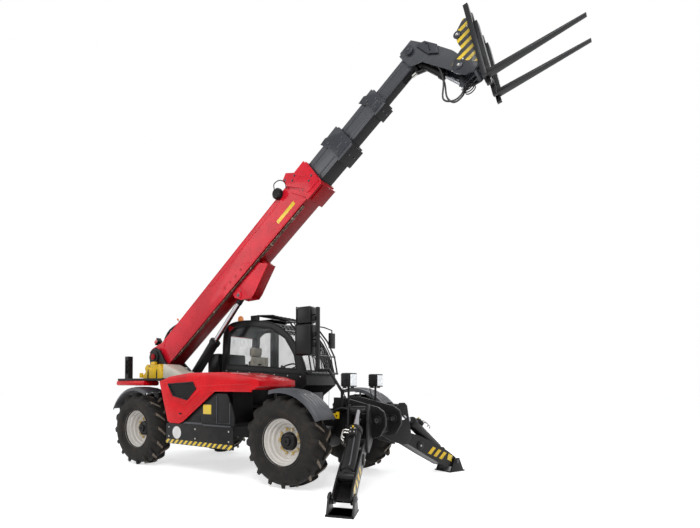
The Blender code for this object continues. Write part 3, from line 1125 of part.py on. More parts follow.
def boom(shop, finishes):
    lift = shop.joint("boom_lift", (BOOM_PIVOT_X, 0, BOOM_PIVOT_Z), None,
                      Matrix.Rotation(-math.radians(BOOM_ANGLE), 4, "Y"))
    joints = [lift]
    for name in ("extend_1", "extend_2", "extend_3"):
        joints.append(shop.joint(name, (0, 0, 0), joints[-1]))
    middle = -BOOM_DROP
    sizes = []
    for index in range(len(BOOM_SECTIONS)):
        sizes.append(boom_section(shop, index, joints[index], finishes))
    for index, (name, solids, cuts, half_w, half_d, wall, rear, front) in enumerate(sizes):
        if index:
            outer = sizes[index - 1]
            inside = (outer[3] - outer[5] - SEAT_GAP, outer[4] - outer[5] - SEAT_GAP)
            skin = wall / 2
            solids += pads(shop, rear + PLATE, (half_w - skin, half_d - skin), inside, middle)
        if index < len(sizes) - 1:
            inner = sizes[index + 1]
            skin = wall / 2
            cuts_done = (half_w - skin, half_d - skin)
            inside = (inner[3] + SEAT_GAP, inner[4] + SEAT_GAP)
            late = pads(shop, front - BOOM_PAD_LENGTH - PLATE, inside, cuts_done, middle)
        else:
            late = []
        if index == 0:
            tail = placed(BOOM_TAIL_SHARES, (0, middle - half_d), (BOOM_TAIL_LENGTH, 2 * half_d))
            solids.append(shop.plate(tail, -half_w + PLATE / 4, half_w - PLATE / 4))
            lug = [(LUG_REAR + u * LUG_LENGTH, middle - half_d - v * LUG_DEPTH) for u, v in LUG_SHARES]
            for sign in (-1, 1):
                low, high = sorted((sign * LUG_INNER_Y, sign * (LUG_INNER_Y + LUG_PLATE)))
                solids.append(shop.plate(lug, low, high))
            cuts.append(shop.box(
                (POCKET_REAR, -POCKET_HALF, middle - half_d - OVERRUN),
                (POCKET_FRONT, POCKET_HALF, middle - half_d + wall + OVERRUN / 2)))
        hollow = shop.fused(solids, cuts)
        finish = finishes["red"] if index == 0 else finishes["steel"]
        if name == "boom_tip":
            late += gooseneck(shop)
        shop.piece(name, [hollow] + late, finish, joints[index])
    boom_fittings(shop, lift, finishes)
    return joints


def gooseneck(shop):
    """The bent head plates, the web between them and the tilt cylinder's upper pin bosses."""
    outline = [(NECK_START + u * NECK_LENGTH, NECK_TOP - v * NECK_DEPTH) for u, v in NECK_SHARES]
    web = [(NECK_START + u * NECK_LENGTH, NECK_TOP - v * NECK_DEPTH) for u, v in NECK_WEB_SHARES]
    inner = NECK_HALF - NECK_PLATE
    _, _, depth, _, front, *_ = BOOM_SECTIONS[-1]
    block_half = NECK_HALF - PLATE / 4
    solids = [
        shop.plate(web, -block_half, block_half),
        shop.box(
            (front - NECK_BLOCK, -block_half, -BOOM_DROP - depth / 2 + PLATE / 4),
            (front + PLATE / 4, block_half, NECK_TOP - PLATE)),
    ]
    for sign in (-1, 1):
        low, high = sorted((sign * inner, sign * NECK_HALF))
        solids.append(shop.plate(outline, low, high))
        solids.append(shop.cylinder(
            (CARRIAGE_S, sign * HEAD_HUB_INNER, CARRIAGE_N),
            (CARRIAGE_S, sign * (EAR_INNER - SEAT_GAP), CARRIAGE_N), HEAD_HUB_RADIUS, 16))
        solids.append(shop.cylinder(
            (TILT_BASE_S, sign * (TILT_SIZE["base_half"] + SEAT_GAP), TILT_BASE_N),
            (TILT_BASE_S, sign * (inner + PLATE / 4), TILT_BASE_N), TILT_SIZE["neck_radius"], 12))
    return solids


def boom_fittings(shop, joint, finishes):
    """Hydraulic pipes along the lower right edge and the lamp on top."""
    width, depth = BOOM_SECTIONS[0][1], BOOM_SECTIONS[0][2]
    under = -BOOM_DROP - depth / 2 - SEAT_GAP
    solids = []
    for index in range(2):
        y = -width / 2 + PIPE_SPACING * (index + 1)
        z = under - PIPE_RADIUS - PLATE / 8
        solids.append(shop.cylinder((PIPE_START, y, z), (PIPE_END, y, z), PIPE_RADIUS, 8))
    for index in range(PIPE_CLAMPS):
        at = PIPE_START + (PIPE_END - PIPE_START) * (index + 0.5) / PIPE_CLAMPS
        solids.append(shop.box(
            (at, -width / 2 + PIPE_SPACING / 2, under - 2 * PIPE_RADIUS - PLATE / 2),
            (at + PIPE_CLAMP_SIZE, -width / 2 + PIPE_SPACING * PIPE_CLAMP_SHARE, under)))
    shop.piece("boom_pipes", solids, finishes["grey"], joint)
    top = -BOOM_DROP + depth / 2 + SEAT_GAP
    z = top + BOOM_LAMP_PROUD
    lamp = [
        shop.cylinder((BOOM_LAMP_S, 0, z), (BOOM_LAMP_S + BOOM_LAMP_LENGTH, 0, z), BOOM_LAMP_RADIUS, 16),
        shop.box((BOOM_LAMP_S + PLATE, -PLATE, top), (BOOM_LAMP_S + 3 * PLATE, PLATE, z)),
    ]
    shop.piece("boom_lamp", lamp, finishes["black"], joint)


def cylinder_pair(shop, names, parent, place, turn, reach, size, finishes):
    """A barrel from its base eye along local X, and its rod with the eye at the far pin."""
    hinge = shop.joint(names[0], place, parent, turn)
    slide = shop.joint(names[1], (0, 0, 0), hinge)
    bore = size["rod"] + SWING_GAP
    gland = size["length"] - GLAND_LENGTH
    bottom = size["neck"] + size["rod"]
    barrel = shop.turned(
        [(0.0, size["neck"]), (size["barrel"], size["neck"]), (size["barrel"], gland),
         (size["barrel"] + GLAND_PROUD, gland), (size["barrel"] + GLAND_PROUD, size["length"]),
         (bore, size["length"]), (bore, bottom), (0.0, bottom)], CYLINDER_STEPS)
    shop.moved(barrel, Matrix.Rotation(math.pi / 2, 4, "Y"))
    neck = shop.cylinder((0, 0, 0), (bottom - PLATE / 2, 0, 0), size["neck_radius"], 16)
    eye = shop.cylinder((0, -size["base_half"], 0), (0, size["base_half"], 0), size["base_eye"], 16)
    shop.piece(names[2], [barrel, neck, eye], finishes["black"], hinge)
    start = bottom + size["travel"]
    guide = start + size["rod"]
    rod = shop.turned(
        [(0.0, start), (bore - SEAT_GAP, start), (bore - SEAT_GAP, guide), (size["rod"], guide),
         (size["rod"], reach), (0.0, reach)], CYLINDER_STEPS)
    shop.moved(rod, Matrix.Rotation(math.pi / 2, 4, "Y"))
    rod_eye = shop.cylinder((reach, -size["rod_half"], 0), (reach, size["rod_half"], 0), size["rod_eye"], 16)
    shop.piece(names[3], [rod, rod_eye], finishes["chrome"], slide)


def aimed(start, end):
    """Length and turn of a line in the XZ plane, so that local X runs along it."""
    along = Vector(end) - Vector(start)
    return along.length, Matrix.Rotation(-math.atan2(along.y, along.x), 4, "Y")


def lift_cylinder(shop, finishes):
    angle = math.radians(BOOM_ANGLE)
    pin = (
        BOOM_PIVOT_X + LIFT_PIN_S * math.cos(angle) - LIFT_PIN_N * math.sin(angle),
        BOOM_PIVOT_Z + LIFT_PIN_S * math.sin(angle) + LIFT_PIN_N * math.cos(angle),
    )
    reach, turn = aimed((LIFT_BASE_X, LIFT_BASE_Z), pin)
    names = ("lift_barrel_hinge", "lift_rod_slide", "lift_barrel", "lift_rod")
    cylinder_pair(shop, names, None, (LIFT_BASE_X, 0, LIFT_BASE_Z), turn, reach, LIFT_SIZE, finishes)


def carriage(shop, tip, finishes):
    """The tilting carriage with its cylinder, fork frame and forks."""
    level = Matrix.Rotation(math.radians(BOOM_ANGLE), 4, "Y")
    joint = shop.joint("carriage_tilt", (CARRIAGE_S, 0, CARRIAGE_N), tip, level)
    outline = placed(CARRIAGE_SHARES, (CARRIAGE_X, CARRIAGE_Z), (CARRIAGE_WIDTH, CARRIAGE_HEIGHT))
    solids = []
    for sign in (-1, 1):
        low, high = sorted((sign * EAR_INNER, sign * (EAR_INNER + EAR_PLATE)))
        solids.append(shop.plate(outline, low, high))
        low, high = sorted((sign * TILT_EAR_INNER, sign * (TILT_EAR_INNER + TILT_EAR_PLATE)))
        solids.append(shop.plate(list(TILT_LINK_SHARES), low, high))
    for (x, z), radius in ((HOOK_BAR, HOOK_BAR_RADIUS), (LOWER_BAR, LOWER_BAR_RADIUS)):
        wide = EAR_INNER + EAR_PLATE / 2
        solids.append(shop.cylinder((x, -wide, z), (x, wide, z), radius, 14))
    shop.piece("carriage", solids, finishes["steel"], joint)
    pin = Matrix.Rotation(-math.radians(BOOM_ANGLE), 2) @ Vector(TILT_PIN)
    reach, turn = aimed((TILT_BASE_S, TILT_BASE_N), (CARRIAGE_S + pin.x, CARRIAGE_N + pin.y))
    names = ("tilt_barrel_hinge", "tilt_rod_slide", "tilt_barrel", "tilt_rod")
    cylinder_pair(shop, names, tip, (TILT_BASE_S, 0, TILT_BASE_N), turn, reach, TILT_SIZE, finishes)
    fork_frame(shop, joint, finishes)


def fork_frame(shop, joint, finishes):
    """The lattice frame on the carriage with its two forks, leaning back together."""
    lean = Matrix.Rotation(-math.radians(FORK_RAKE), 4, "Y")
    front = FRAME_BACK + FRAME_BAR
    solids = []
    outer = FRAME_HALF_WIDTH
    inner = FRAME_INNER_BAR_Y
    half = FRAME_OUTER_BAR / 2
    for low, high in ((-outer, -outer + 2 * half), (-inner - half, -inner + half), (inner - half, inner + half),
                      (outer - 2 * half, outer)):
        solids.append(shop.box((FRAME_BACK, low, FRAME_LOW), (front, high, FRAME_TOP)))
    for at in FRAME_CROSS_AT:
        solids.append(shop.box(
            (FRAME_BACK + PLATE / 4, -outer + half, at), (front - PLATE / 4, outer - half, at + FRAME_CROSS_HEIGHT)))
    back = front - PLATE / 4
    heel = (back, FORK_HEEL)
    tip = (back + FORK_REACH - front, FORK_HEEL)
    side = [
        (back, FORK_SHANK_TOP), (back, FORK_HEEL - FORK_SHANK), (tip[0], FORK_HEEL - FORK_TIP),
        (tip[0], FORK_HEEL), (back + FORK_SHANK, heel[1]), (back + FORK_SHANK, FORK_SHANK_TOP),
    ]
    for sign in (-1, 1):
        solids.append(shop.plate(side, sign * FORK_Y - FORK_WIDTH / 2, sign * FORK_Y + FORK_WIDTH / 2))
    for solid in solids:
        shop.moved(solid, lean)
    shop.piece("fork_frame", solids, finishes["steel"], joint)


def stabiliser(shop, side, sign, finishes):
    frame = stabiliser_frame(sign)
    hinge_place = (STAB_HINGE[0], 0, STAB_HINGE[1])
    leg_joint = shop.joint(f"stabiliser_{side}", (0, 0, 0), None, frame @ Matrix.Translation(hinge_place))
    foot = (STAB_FOOT_PIN[0] - STAB_HINGE[0], STAB_FOOT_PIN[1] - STAB_HINGE[1])
    length, aim = aimed((0, 0), foot)
    solids = []
    plates = [(u * length, v * STAB_LEG_DEPTH) for u, v in STAB_LEG_SHARES]
    web = [(u * length, v * STAB_LEG_DEPTH) for u, v in STAB_WEB_SHARES]
    outer = STAB_EAR_INNER - SEAT_GAP
    for way in (-1, 1):
        low, high = sorted((way * outer, way * (outer - STAB_LEG_PLATE)))
        solids.append(shop.moved(shop.plate(plates, low, high), aim))
        solids.append(shop.moved(shop.cylinder(
            (length, way * (outer - STAB_LEG_PLATE / 2), 0), (length, way * (FOOT_CHEEK_Y - SEAT_GAP), 0),
            STAB_PIN_RADIUS, 12), aim))
    solids.append(shop.moved(shop.plate(web, -outer + PLATE / 4, outer - PLATE / 4), aim))
    solids.append(shop.cylinder((0, -outer + PLATE / 4, 0), (0, outer - PLATE / 4, 0), STAB_HUB_RADIUS, 16))
    shop.piece(f"stabiliser_leg_{side}", solids, finishes["black"], leg_joint)
    barrel_pin = (STAB_BARREL_PIN[0] - STAB_HINGE[0], STAB_BARREL_PIN[1] - STAB_HINGE[1])
    rod_pin = (STAB_ROD_PIN[0] - STAB_HINGE[0], STAB_ROD_PIN[1] - STAB_HINGE[1])
    reach, turn = aimed(barrel_pin, rod_pin)
    names = [f"stabiliser_{part}_{side}" for part in ("barrel_hinge", "rod_slide", "barrel", "rod")]
    cylinder_pair(shop, names, leg_joint, (barrel_pin[0], 0, barrel_pin[1]), turn, reach, STAB_SIZE, finishes)
    pad_joint = shop.joint(f"foot_{side}", (foot[0], 0, foot[1]), leg_joint)
    sole = -STAB_FOOT_PIN[1]
    solids = [shop.box((-FOOT_HALF_LENGTH, -FOOT_HALF_WIDTH, sole), (FOOT_HALF_LENGTH, FOOT_HALF_WIDTH, sole + FOOT_SOLE))]
    for way in (-1, 1):
        low, high = sorted((way * FOOT_CHEEK_Y, way * (FOOT_CHEEK_Y + FOOT_CHEEK)))
        cheek = [(-FOOT_HALF_LENGTH + PLATE, sole), (FOOT_HALF_LENGTH - PLATE, sole), (FOOT_PIN_BOSS, FOOT_PIN_BOSS),
                 (-FOOT_PIN_BOSS, FOOT_PIN_BOSS)]
        solids.append(shop.plate(cheek, low, high))
    shop.piece(f"stabiliser_foot_{side}", solids, finishes["black"], pad_joint)


def seat_on_origin(parts, joints):
    """Moves the whole machine so that the middle of its floor plan is the origin."""
    bpy.context.view_layer.update()
    corners = [made.matrix_world @ vertex.co for made in parts.objects for vertex in made.data.vertices]
    low = [min(corner[axis] for corner in corners) for axis in range(3)]
    high = [max(corner[axis] for corner in corners) for axis in range(3)]
    shift = Matrix.Translation((-(low[0] + high[0]) / 2, -(low[1] + high[1]) / 2, -low[2]))
    for made in list(parts.objects) + list(joints.objects):
        if made.parent is None:
            made.matrix_world = shift @ made.matrix_world
    bpy.context.view_layer.update()


def main():
    for old in list(bpy.data.objects):
        bpy.data.objects.remove(old)
    shop = Workshop()
    finishes = {
        "red": material("red_paint", RED, 0.25, 0.0),
        "black": material("black_paint", BLACK, 0.4, 0.0),
        "plastic": material("grey_plastic", DARK_GREY, 0.5, 0.0),
        "steel": material("dark_steel", DARK_GREY, 0.4, 0.0),
        "grey": material("plain_grey", DARK_GREY, 0.6, 0.0),
        "silver": material("silver_paint", SILVER, 0.35, 0.1),
        "rubber": material("tyre_rubber", RUBBER, 0.8, 0.0),
        "chrome": material("chrome", SILVER, 0.12, 1.0),
        "yellow": material("yellow_paint", YELLOW, 0.4, 0.0),
    }
    chassis_frame(shop, finishes["black"])
    counterweight(shop, finishes["black"])
    axle(shop, "front_axle", 0.0, finishes["black"])
    axle(shop, "rear_axle", -WHEELBASE, finishes["black"])
    wheel_set(shop, finishes)
    body_sides(shop, finishes)
    bonnet(shop, finishes)
    cab(shop, finishes)
    windscreen_guard(shop, finishes)
    mirrors(shop, finishes)
    work_lights(shop, finishes)
    rear_fittings(shop, finishes)
    sections = boom(shop, finishes)
    carriage(shop, sections[-1], finishes)
    lift_cylinder(shop, finishes)
    for side, sign in (("right", -1), ("left", 1)):
        stabiliser(shop, side, sign, finishes)
    seat_on_origin(shop.parts, shop.joints)
    bpy.data.collections.remove(shop.bench)


main()
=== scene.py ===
"""Looks of the telehandler: finishes, treads, glass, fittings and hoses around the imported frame."""
import json
import math

import bmesh
import bpy
from mathutils import Matrix, Vector
from mathutils.bvhtree import BVHTree

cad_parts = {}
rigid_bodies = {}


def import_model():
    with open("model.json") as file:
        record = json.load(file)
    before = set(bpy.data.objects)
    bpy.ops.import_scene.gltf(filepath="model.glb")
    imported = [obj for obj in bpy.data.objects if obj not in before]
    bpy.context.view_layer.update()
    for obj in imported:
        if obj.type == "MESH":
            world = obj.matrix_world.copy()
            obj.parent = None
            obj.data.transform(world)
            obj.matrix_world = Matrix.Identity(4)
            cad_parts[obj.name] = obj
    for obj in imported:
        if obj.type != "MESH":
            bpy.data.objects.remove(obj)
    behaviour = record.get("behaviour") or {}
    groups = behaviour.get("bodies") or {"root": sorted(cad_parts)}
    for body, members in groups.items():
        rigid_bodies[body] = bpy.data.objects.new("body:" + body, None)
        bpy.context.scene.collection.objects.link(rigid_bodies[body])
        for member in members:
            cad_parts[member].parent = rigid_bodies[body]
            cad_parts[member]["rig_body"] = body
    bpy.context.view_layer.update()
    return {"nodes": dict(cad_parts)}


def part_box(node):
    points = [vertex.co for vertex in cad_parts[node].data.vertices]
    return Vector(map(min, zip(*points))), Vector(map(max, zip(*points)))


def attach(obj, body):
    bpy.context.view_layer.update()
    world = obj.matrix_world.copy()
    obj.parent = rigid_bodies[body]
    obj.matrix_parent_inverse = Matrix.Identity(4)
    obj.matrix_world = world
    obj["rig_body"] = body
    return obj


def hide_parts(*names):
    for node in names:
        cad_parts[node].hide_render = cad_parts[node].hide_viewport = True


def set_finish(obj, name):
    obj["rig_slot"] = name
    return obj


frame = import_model()

# Sizes in metres, as the CAD has them
WHEELS = ("front_right", "front_left", "rear_right", "rear_left")
SIDES = {"right": -1, "left": 1}
WAYS = (-1, 1)
TYRE_RADIUS = 0.61
TYRE_WIDTH = 0.4
RIM_RADIUS = 0.335
RIM_WIDTH = 0.33
# How far the tread stays back from the CAD's box
STEP = 0.0005
BOX_BEVEL = 0.004
PLATE_BEVEL = 0.003

# The boom's frame: s runs along it from the pivot, n up from it
BOOM_ANGLE = math.radians(37.5)
BOOM_PIVOT = Vector((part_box("tyre_front_right")[0].x + TYRE_RADIUS - 3.75, 0, 1.9))
BOOM = Matrix.Translation(BOOM_PIVOT) @ Matrix.Rotation(-BOOM_ANGLE, 4, "Y")
BOOM_MIDDLE = -0.09
# Body, half width, half depth, front end, collar start, collar proud at top, bottom and sides
SECTIONS = {
    "boom_base": ("boom_root", 0.18, 0.23, 4.5, 4.17, 0.03, 0.045, 0.022),
    "boom_mid_1": ("boom_second", 0.1425, 0.186, 5.16, 4.86, 0.03, 0.042, 0.02),
    "boom_mid_2": ("boom_third", 0.1065, 0.144, 5.81, 5.6, 0.022, 0.036, 0.018),
    "boom_tip": ("boom_last", 0.074, 0.105, 6.34, 6.3, 0, 0, 0),
}


class Field:
    """A value inside a material's nodes, on which plain arithmetic builds nodes."""

    def __init__(self, shader, socket):
        self.shader = shader
        self.socket = socket

    def apply(self, operation, *others):
        return self.shader.node("ShaderNodeMath", (self, *others), operation=operation)

    def __add__(self, other):
        return self.apply("ADD", other)

    def __mul__(self, other):
        return self.apply("MULTIPLY", other)

    def __truediv__(self, other):
        return self.apply("DIVIDE", other)

    def __rsub__(self, other):
        return self.shader.node("ShaderNodeMath", (other, self), operation="SUBTRACT")

    def between(self, low, high):
        """0 at low and 1 at high, smoothly."""
        return self.shader.node(
            "ShaderNodeMapRange", {"Value": self, "From Min": low, "From Max": high},
            interpolation_type="SMOOTHSTEP")


class Shader:
    """One material and its node tree."""

    def __init__(self, name, colour, roughness, metallic=0, coat=0):
        self.material = bpy.data.materials.new(name)
        self.material.use_nodes = True
        self.material.diffuse_color = (*colour, 1)
        self.tree = self.material.node_tree
        self.surface = self.tree.nodes["Principled BSDF"]
        self.surface.inputs["Base Color"].default_value = (*colour, 1)
        self.surface.inputs["Roughness"].default_value = roughness
        self.surface.inputs["Metallic"].default_value = metallic
        self.surface.inputs["Coat Weight"].default_value = coat
        self.surface.inputs["Coat Roughness"].default_value = 0.06
        place = self.tree.nodes.new("ShaderNodeTexCoord")
        self.place = Field(self, place.outputs["Object"])
        apart = self.tree.nodes.new("ShaderNodeSeparateXYZ")
        self.tree.links.new(place.outputs["Object"], apart.inputs[0])
        self.x, self.y, self.z = (Field(self, apart.outputs[axis]) for axis in "XYZ")

    def set(self, socket, value):
        if isinstance(value, Field):
            self.tree.links.new(value.socket, socket)
        else:
            socket.default_value = value

    def node(self, kind, inputs, output=0, **settings):
        made = self.tree.nodes.new(kind)
        for key, value in settings.items():
            setattr(made, key, value)
        pairs = inputs.items() if isinstance(inputs, dict) else enumerate(inputs)
        for key, value in pairs:
            self.set(made.inputs[key], value)
        return Field(self, made.outputs[output])

    def noise(self, scale, detail=2, vector=None):
        inputs = {"Vector": vector or self.place, "Scale": scale, "Detail": detail}
        return self.node("ShaderNodeTexNoise", inputs)

    def along_boom(self, scale, detail, stretch):
        """Noise drawn out along the boom."""
        turned = self.node("ShaderNodeMapping", {"Vector": self.place, "Rotation": (0, BOOM_ANGLE, 0)})
        long = self.node("ShaderNodeMapping", {"Vector": turned, "Scale": (stretch, 1, 1)})
        return self.noise(scale, detail, long)

    def mixed(self, factor, first, second):
        colours = [value if isinstance(value, Field) else (*value, 1) for value in (first, second)]
        return self.node("ShaderNodeMix", {0: factor, 6: colours[0], 7: colours[1]}, 2, data_type="RGBA")

    def put(self, name, value):
        self.set(self.surface.inputs[name], value)

    def base(self, field):
        self.put("Base Color", field)

    def rough(self, field):
        self.put("Roughness", field)

    def bump(self, height, strength, distance):
        inputs = {"Height": height, "Strength": strength, "Distance": distance}
        self.put("Normal", self.node("ShaderNodeBump", inputs))

    def grained(self, grain, dark, light, rough, bump, limits=None):
        """Lets one noise set the colour, the gloss and the relief."""
        self.base(self.mixed(grain.between(*limits) if limits else grain, dark, light))
        self.rough(grain * rough[0] + rough[1])
        self.bump(grain, *bump)
        return self.material


def shade(colour, factor):
    return tuple(min(1, channel * factor) for channel in colour)


DUST = (0.27, 0.21, 0.15)


def paint(name, colour, roughness, coat, dust, gloss=0.5):
    """Sprayed paint: orange peel, uneven gloss, and dust that thickens towards the ground."""
    made = Shader(name, colour, roughness, 0, coat)
    broad = made.noise(2.2, 3)
    fine = made.noise(38, 4)
    toned = made.mixed(broad.between(0.35, 0.65), shade(colour, 0.86), shade(colour, 1.1))
    low = (1 - made.z.between(0.15, 1.35)) * (fine.between(0.3, 0.75) * 0.5 + broad * 0.5) * dust
    made.base(made.mixed(low + broad.between(0.6, 0.85) * dust * 0.12, toned, DUST))
    made.rough(broad * 0.1 + fine * 0.08 + low * 0.5 + (roughness - 0.09))
    made.bump(made.noise(90) + fine * 0.4, 0.05, 0.0015)
    made.put("Specular IOR Level", gloss)
    return made.material


def section_paint():
    """Blue-grey paint of the telescopes, rubbed along the slide direction."""
    colour = (0.026, 0.029, 0.036)
    made = Shader("section_paint", colour, 0.36, 0, 0.25)
    streaks = made.along_boom(60, 4, 0.02)
    broad = made.noise(3, 2)
    toned = made.mixed(broad, shade(colour, 0.8), shade(colour, 1.35))
    made.base(made.mixed(streaks.between(0.55, 0.75) * 0.35, toned, (0.11, 0.115, 0.13)))
    made.rough(streaks * 0.22 + broad * 0.12 + 0.2)
    made.bump(streaks + made.noise(120) * 0.3, 0.08, 0.001)
    return made.material


def rubber():
    """Tyre rubber with brown earth rubbed into the tread and round the sidewall."""
    made = Shader("tyre_tread_rubber", (0.02, 0.019, 0.018), 0.72)
    made.put("Specular IOR Level", 0.2)
    broad = made.noise(9, 5)
    fine = made.noise(70, 4)
    earth = broad.between(0.4, 0.75) * 0.16 + fine.between(0.5, 0.7) * 0.1
    made.base(made.mixed(earth, (0.015, 0.0145, 0.014), (0.115, 0.085, 0.06)))
    made.rough(fine * 0.25 + 0.58)
    made.bump(fine + broad * 0.5, 0.3, 0.003)
    return made.material


def rubber_top():
    """Scuffed, paler tops of the tread lugs."""
    made = Shader("lug_top_rubber", (0.06, 0.048, 0.038), 0.7)
    return made.grained(made.noise(60, 5), (0.11, 0.088, 0.068), (0.3, 0.24, 0.185),
                        (0.25, 0.55), (0.25, 0.002), (0.35, 0.65))


def plastic(name, colour, roughness, grain=220, gloss=0.5):
    """Moulded plastic or rubber skin: fine grain and a little dust low down."""
    made = Shader(name, colour, roughness)
    grains = made.noise(grain, 2)
    broad = made.noise(4, 3)
    low = (1 - made.z.between(0.2, 1.5)) * broad.between(0.45, 0.7) * 0.06
    made.base(made.mixed(low, made.mixed(broad, shade(colour, 0.85), shade(colour, 1.2)), DUST))
    made.rough(grains * 0.15 + broad * 0.1 + (roughness - 0.12))
    made.bump(grains, 0.22, 0.001)
    made.put("Specular IOR Level", gloss)
    return made.material


def metal(name, colour, roughness, scale=60):
    made = Shader(name, colour, roughness, 1)
    return made.grained(made.noise(scale, 3), shade(colour, 0.82), shade(colour, 1.1),
                        (0.14, roughness - 0.05), (0.05, 0.0008))


def pipe_metal():
    """Hydraulic pipe with a worn brown tint."""
    made = Shader("pipe_metal", (0.3, 0.2, 0.14), 0.36, 0.85)
    return made.grained(made.noise(26, 4), (0.11, 0.055, 0.038), (0.22, 0.17, 0.14),
                        (0.25, 0.22), (0.06, 0.001), (0.4, 0.65))


def striped(name, pitch, lean, share=0.5):
    """Slanted yellow and black warning stripes with scuffed edges."""
    made = Shader(name, (0.8, 0.5, 0.03), 0.42, 0, 0.2)
    run = (made.x * lean + made.z + made.y * 0.8) / pitch
    stripe = run.apply("FRACT").apply("GREATER_THAN", share)
    scuff = made.noise(40, 4).between(0.56, 0.7) * 0.35
    two = made.mixed(stripe, (0.86, 0.6, 0.03), (0.016, 0.016, 0.017))
    made.base(made.mixed(scuff, two, (0.18, 0.16, 0.12)))
    made.rough(scuff * 0.4 + 0.38)
    made.bump(made.noise(90), 0.05, 0.001)
    return made.material


def window_glass():
    """Clear tinted pane with a little uneven dust."""
    made = Shader("window_glass", (0.06, 0.075, 0.08), 0.04)
    smear = made.noise(5, 4)
    made.put("Alpha", smear.between(0.45, 0.75) * 0.06 + 0.13)
    made.rough(smear * 0.05 + 0.01)
    made.put("Specular IOR Level", 0.9)
    return made.material


def lens(name, colour, glow):
    made = Shader(name, colour, 0.12, 0, 0.8)
    made.put("Emission Color", (*colour, 1))
    made.put("Emission Strength", glow)
    return made.grained(made.noise(160, 1), shade(colour, 0.8), shade(colour, 1.1),
                        (0.12, 0.05), (0.25, 0.001))


def cover_cloth():
    """Creased protective cover on the seat, pale cream, darkened in the hollows of its creases as painted
    shade.
    """
    made = Shader("cover_cloth", (0.62, 0.57, 0.45), 0.55)
    crease = made.noise(11, 5)
    weave = made.noise(260, 2)
    # Colour follows the crease noise that also drives the relief: painted shade in the hollows of the
    # creases.
    made.base(made.mixed(crease, (0.42, 0.37, 0.27), (0.76, 0.72, 0.6)))
    made.rough(crease * 0.3 + 0.35)
    made.bump(crease * 3 + weave * 0.2, 0.6, 0.006)
    return made.material


RED = (0.72, 0.003, 0.01)
BOOM_RED = (0.72, 0.01, 0.028)
BLACK = (0.008, 0.008, 0.009)
FINISH = {
    "red": paint("red_gloss", RED, 0.26, 0.18, 0.03, gloss=0.12),
    "boom_red": paint("boom_red_gloss", BOOM_RED, 0.28, 0.24, 0.01, gloss=0.18),
    # A darker copy of the red: painted shade for faces that lie in shadow.
    "red_under": paint("red_shadow_side", shade(RED, 0.42), 0.36, 0.05, 0.04, gloss=0.15),
    "black": paint("black_satin", BLACK, 0.34, 0.02, 0.04, gloss=0.2),
    "frame": paint("chassis_black", BLACK, 0.42, 0, 0.06, gloss=0.17),
    "section": section_paint(),
    "collar": paint("collar_grey", (0.03, 0.032, 0.04), 0.34, 0.12, 0.03, gloss=0.3),
    "grey": plastic("moulded_grey", (0.052, 0.054, 0.062), 0.42, gloss=0.4),
    "trim": plastic("black_trim", (0.009, 0.009, 0.01), 0.4, gloss=0.18),
    "silver": paint("rim_silver", (0.66, 0.63, 0.59), 0.32, 0.35, 0.14),
    "rubber": rubber(),
    "hose": plastic("hose_rubber_skin", (0.014, 0.014, 0.016), 0.4, 300),
    "chrome": metal("chrome_rod", (0.4, 0.4, 0.42), 0.18, 30),
    "zinc": metal("zinc_bolt", (0.5, 0.49, 0.46), 0.34),
    "dark_metal": metal("dark_bolt", (0.11, 0.11, 0.12), 0.42),
    "pipe": pipe_metal(),
    "yellow": paint("yellow_gloss", (0.88, 0.56, 0.012), 0.36, 0.2, 0.03, gloss=0.3),
    "stripes": striped("warning_stripes", 0.105, -1),
    "head_stripes": striped("head_stripes", 0.115, -0.62, 0.46),
    "lug_top": rubber_top(),
    "shade": plastic("shaded_underside", (0.004, 0.004, 0.004), 0.85, gloss=0.02),
    "orange": paint("orange_cap", (0.85, 0.18, 0.02), 0.4, 0.2, 0),
    "glass": window_glass(),
    "white_lens": lens("white_lens", (0.86, 0.88, 0.9), 0.25),
    "amber": lens("amber_lens", (0.95, 0.3, 0.02), 0.15),
    "red_lens": lens("red_lens", (0.65, 0.02, 0.02), 0.1),
    "mirror": metal("mirror_face", (0.85, 0.87, 0.9), 0.06, 8),
    "cloth": cover_cloth(),
    "label": paint("blank_yellow_label", (0.9, 0.62, 0.02), 0.3, 0.4, 0.05),
    "white": paint("blank_white_disc", (0.82, 0.82, 0.8), 0.3, 0.4, 0.1),
    "panel": paint("cream_panel", (0.66, 0.62, 0.52), 0.42, 0.2, 0.15),
    "fork": paint("fork_black", (0.01, 0.0105, 0.012), 0.34, 0.05, 0, gloss=0.25),
    "rope": plastic("strap_black", (0.02, 0.02, 0.02), 0.7, 400),
}
SLOTS = {finish: slot for slot, finishes in {
    "red_paint": "red boom_red red_under", "black_paint": "black frame dark_metal fork",
    "grey_steel": "section collar zinc", "grey_plastic": "grey trim shade", "silver_paint": "silver",
    "tyre_rubber": "rubber lug_top", "hose_rubber": "hose rope", "chrome": "chrome", "zinc_pipe": "pipe",
    "yellow_paint": "yellow stripes head_stripes label", "amber_lens": "orange amber", "clear_glass": "glass",
    "lamp_lens": "white_lens", "red_lens": "red_lens", "mirror_glass": "mirror", "seat_fabric": "cloth",
    "white_panel": "white panel",
}.items() for finish in finishes.split()}


def turns(count, offset=0):
    """Evenly spaced angles round a circle."""
    return [math.tau * (index + offset) / count for index in range(count)]


def flank(way, near, far):
    """Two distances from the middle plane as low and high y on one side of it."""
    return sorted((way * near, way * far))


def upright(direction):
    """The turn that takes z to a direction."""
    return Vector((0, 0, 1)).rotation_difference(Vector(direction)).to_matrix().to_4x4()


def soften(part, bevel, sharp, clamp, shortest=0):
    edges = [edge for edge in part.edges if len(edge.link_faces) == 2
             and edge.calc_face_angle() > math.radians(sharp) and edge.calc_length() > shortest]
    bmesh.ops.bevel(part, geom=edges, offset=bevel, segments=2, profile=0.6, affect="EDGES",
                    clamp_overlap=clamp)


def pour(part, mesh):
    """Moves everything from one bmesh into another."""
    held = bpy.data.meshes.new("held")
    part.to_mesh(held)
    part.free()
    mesh.from_mesh(held)
    bpy.data.meshes.remove(held)


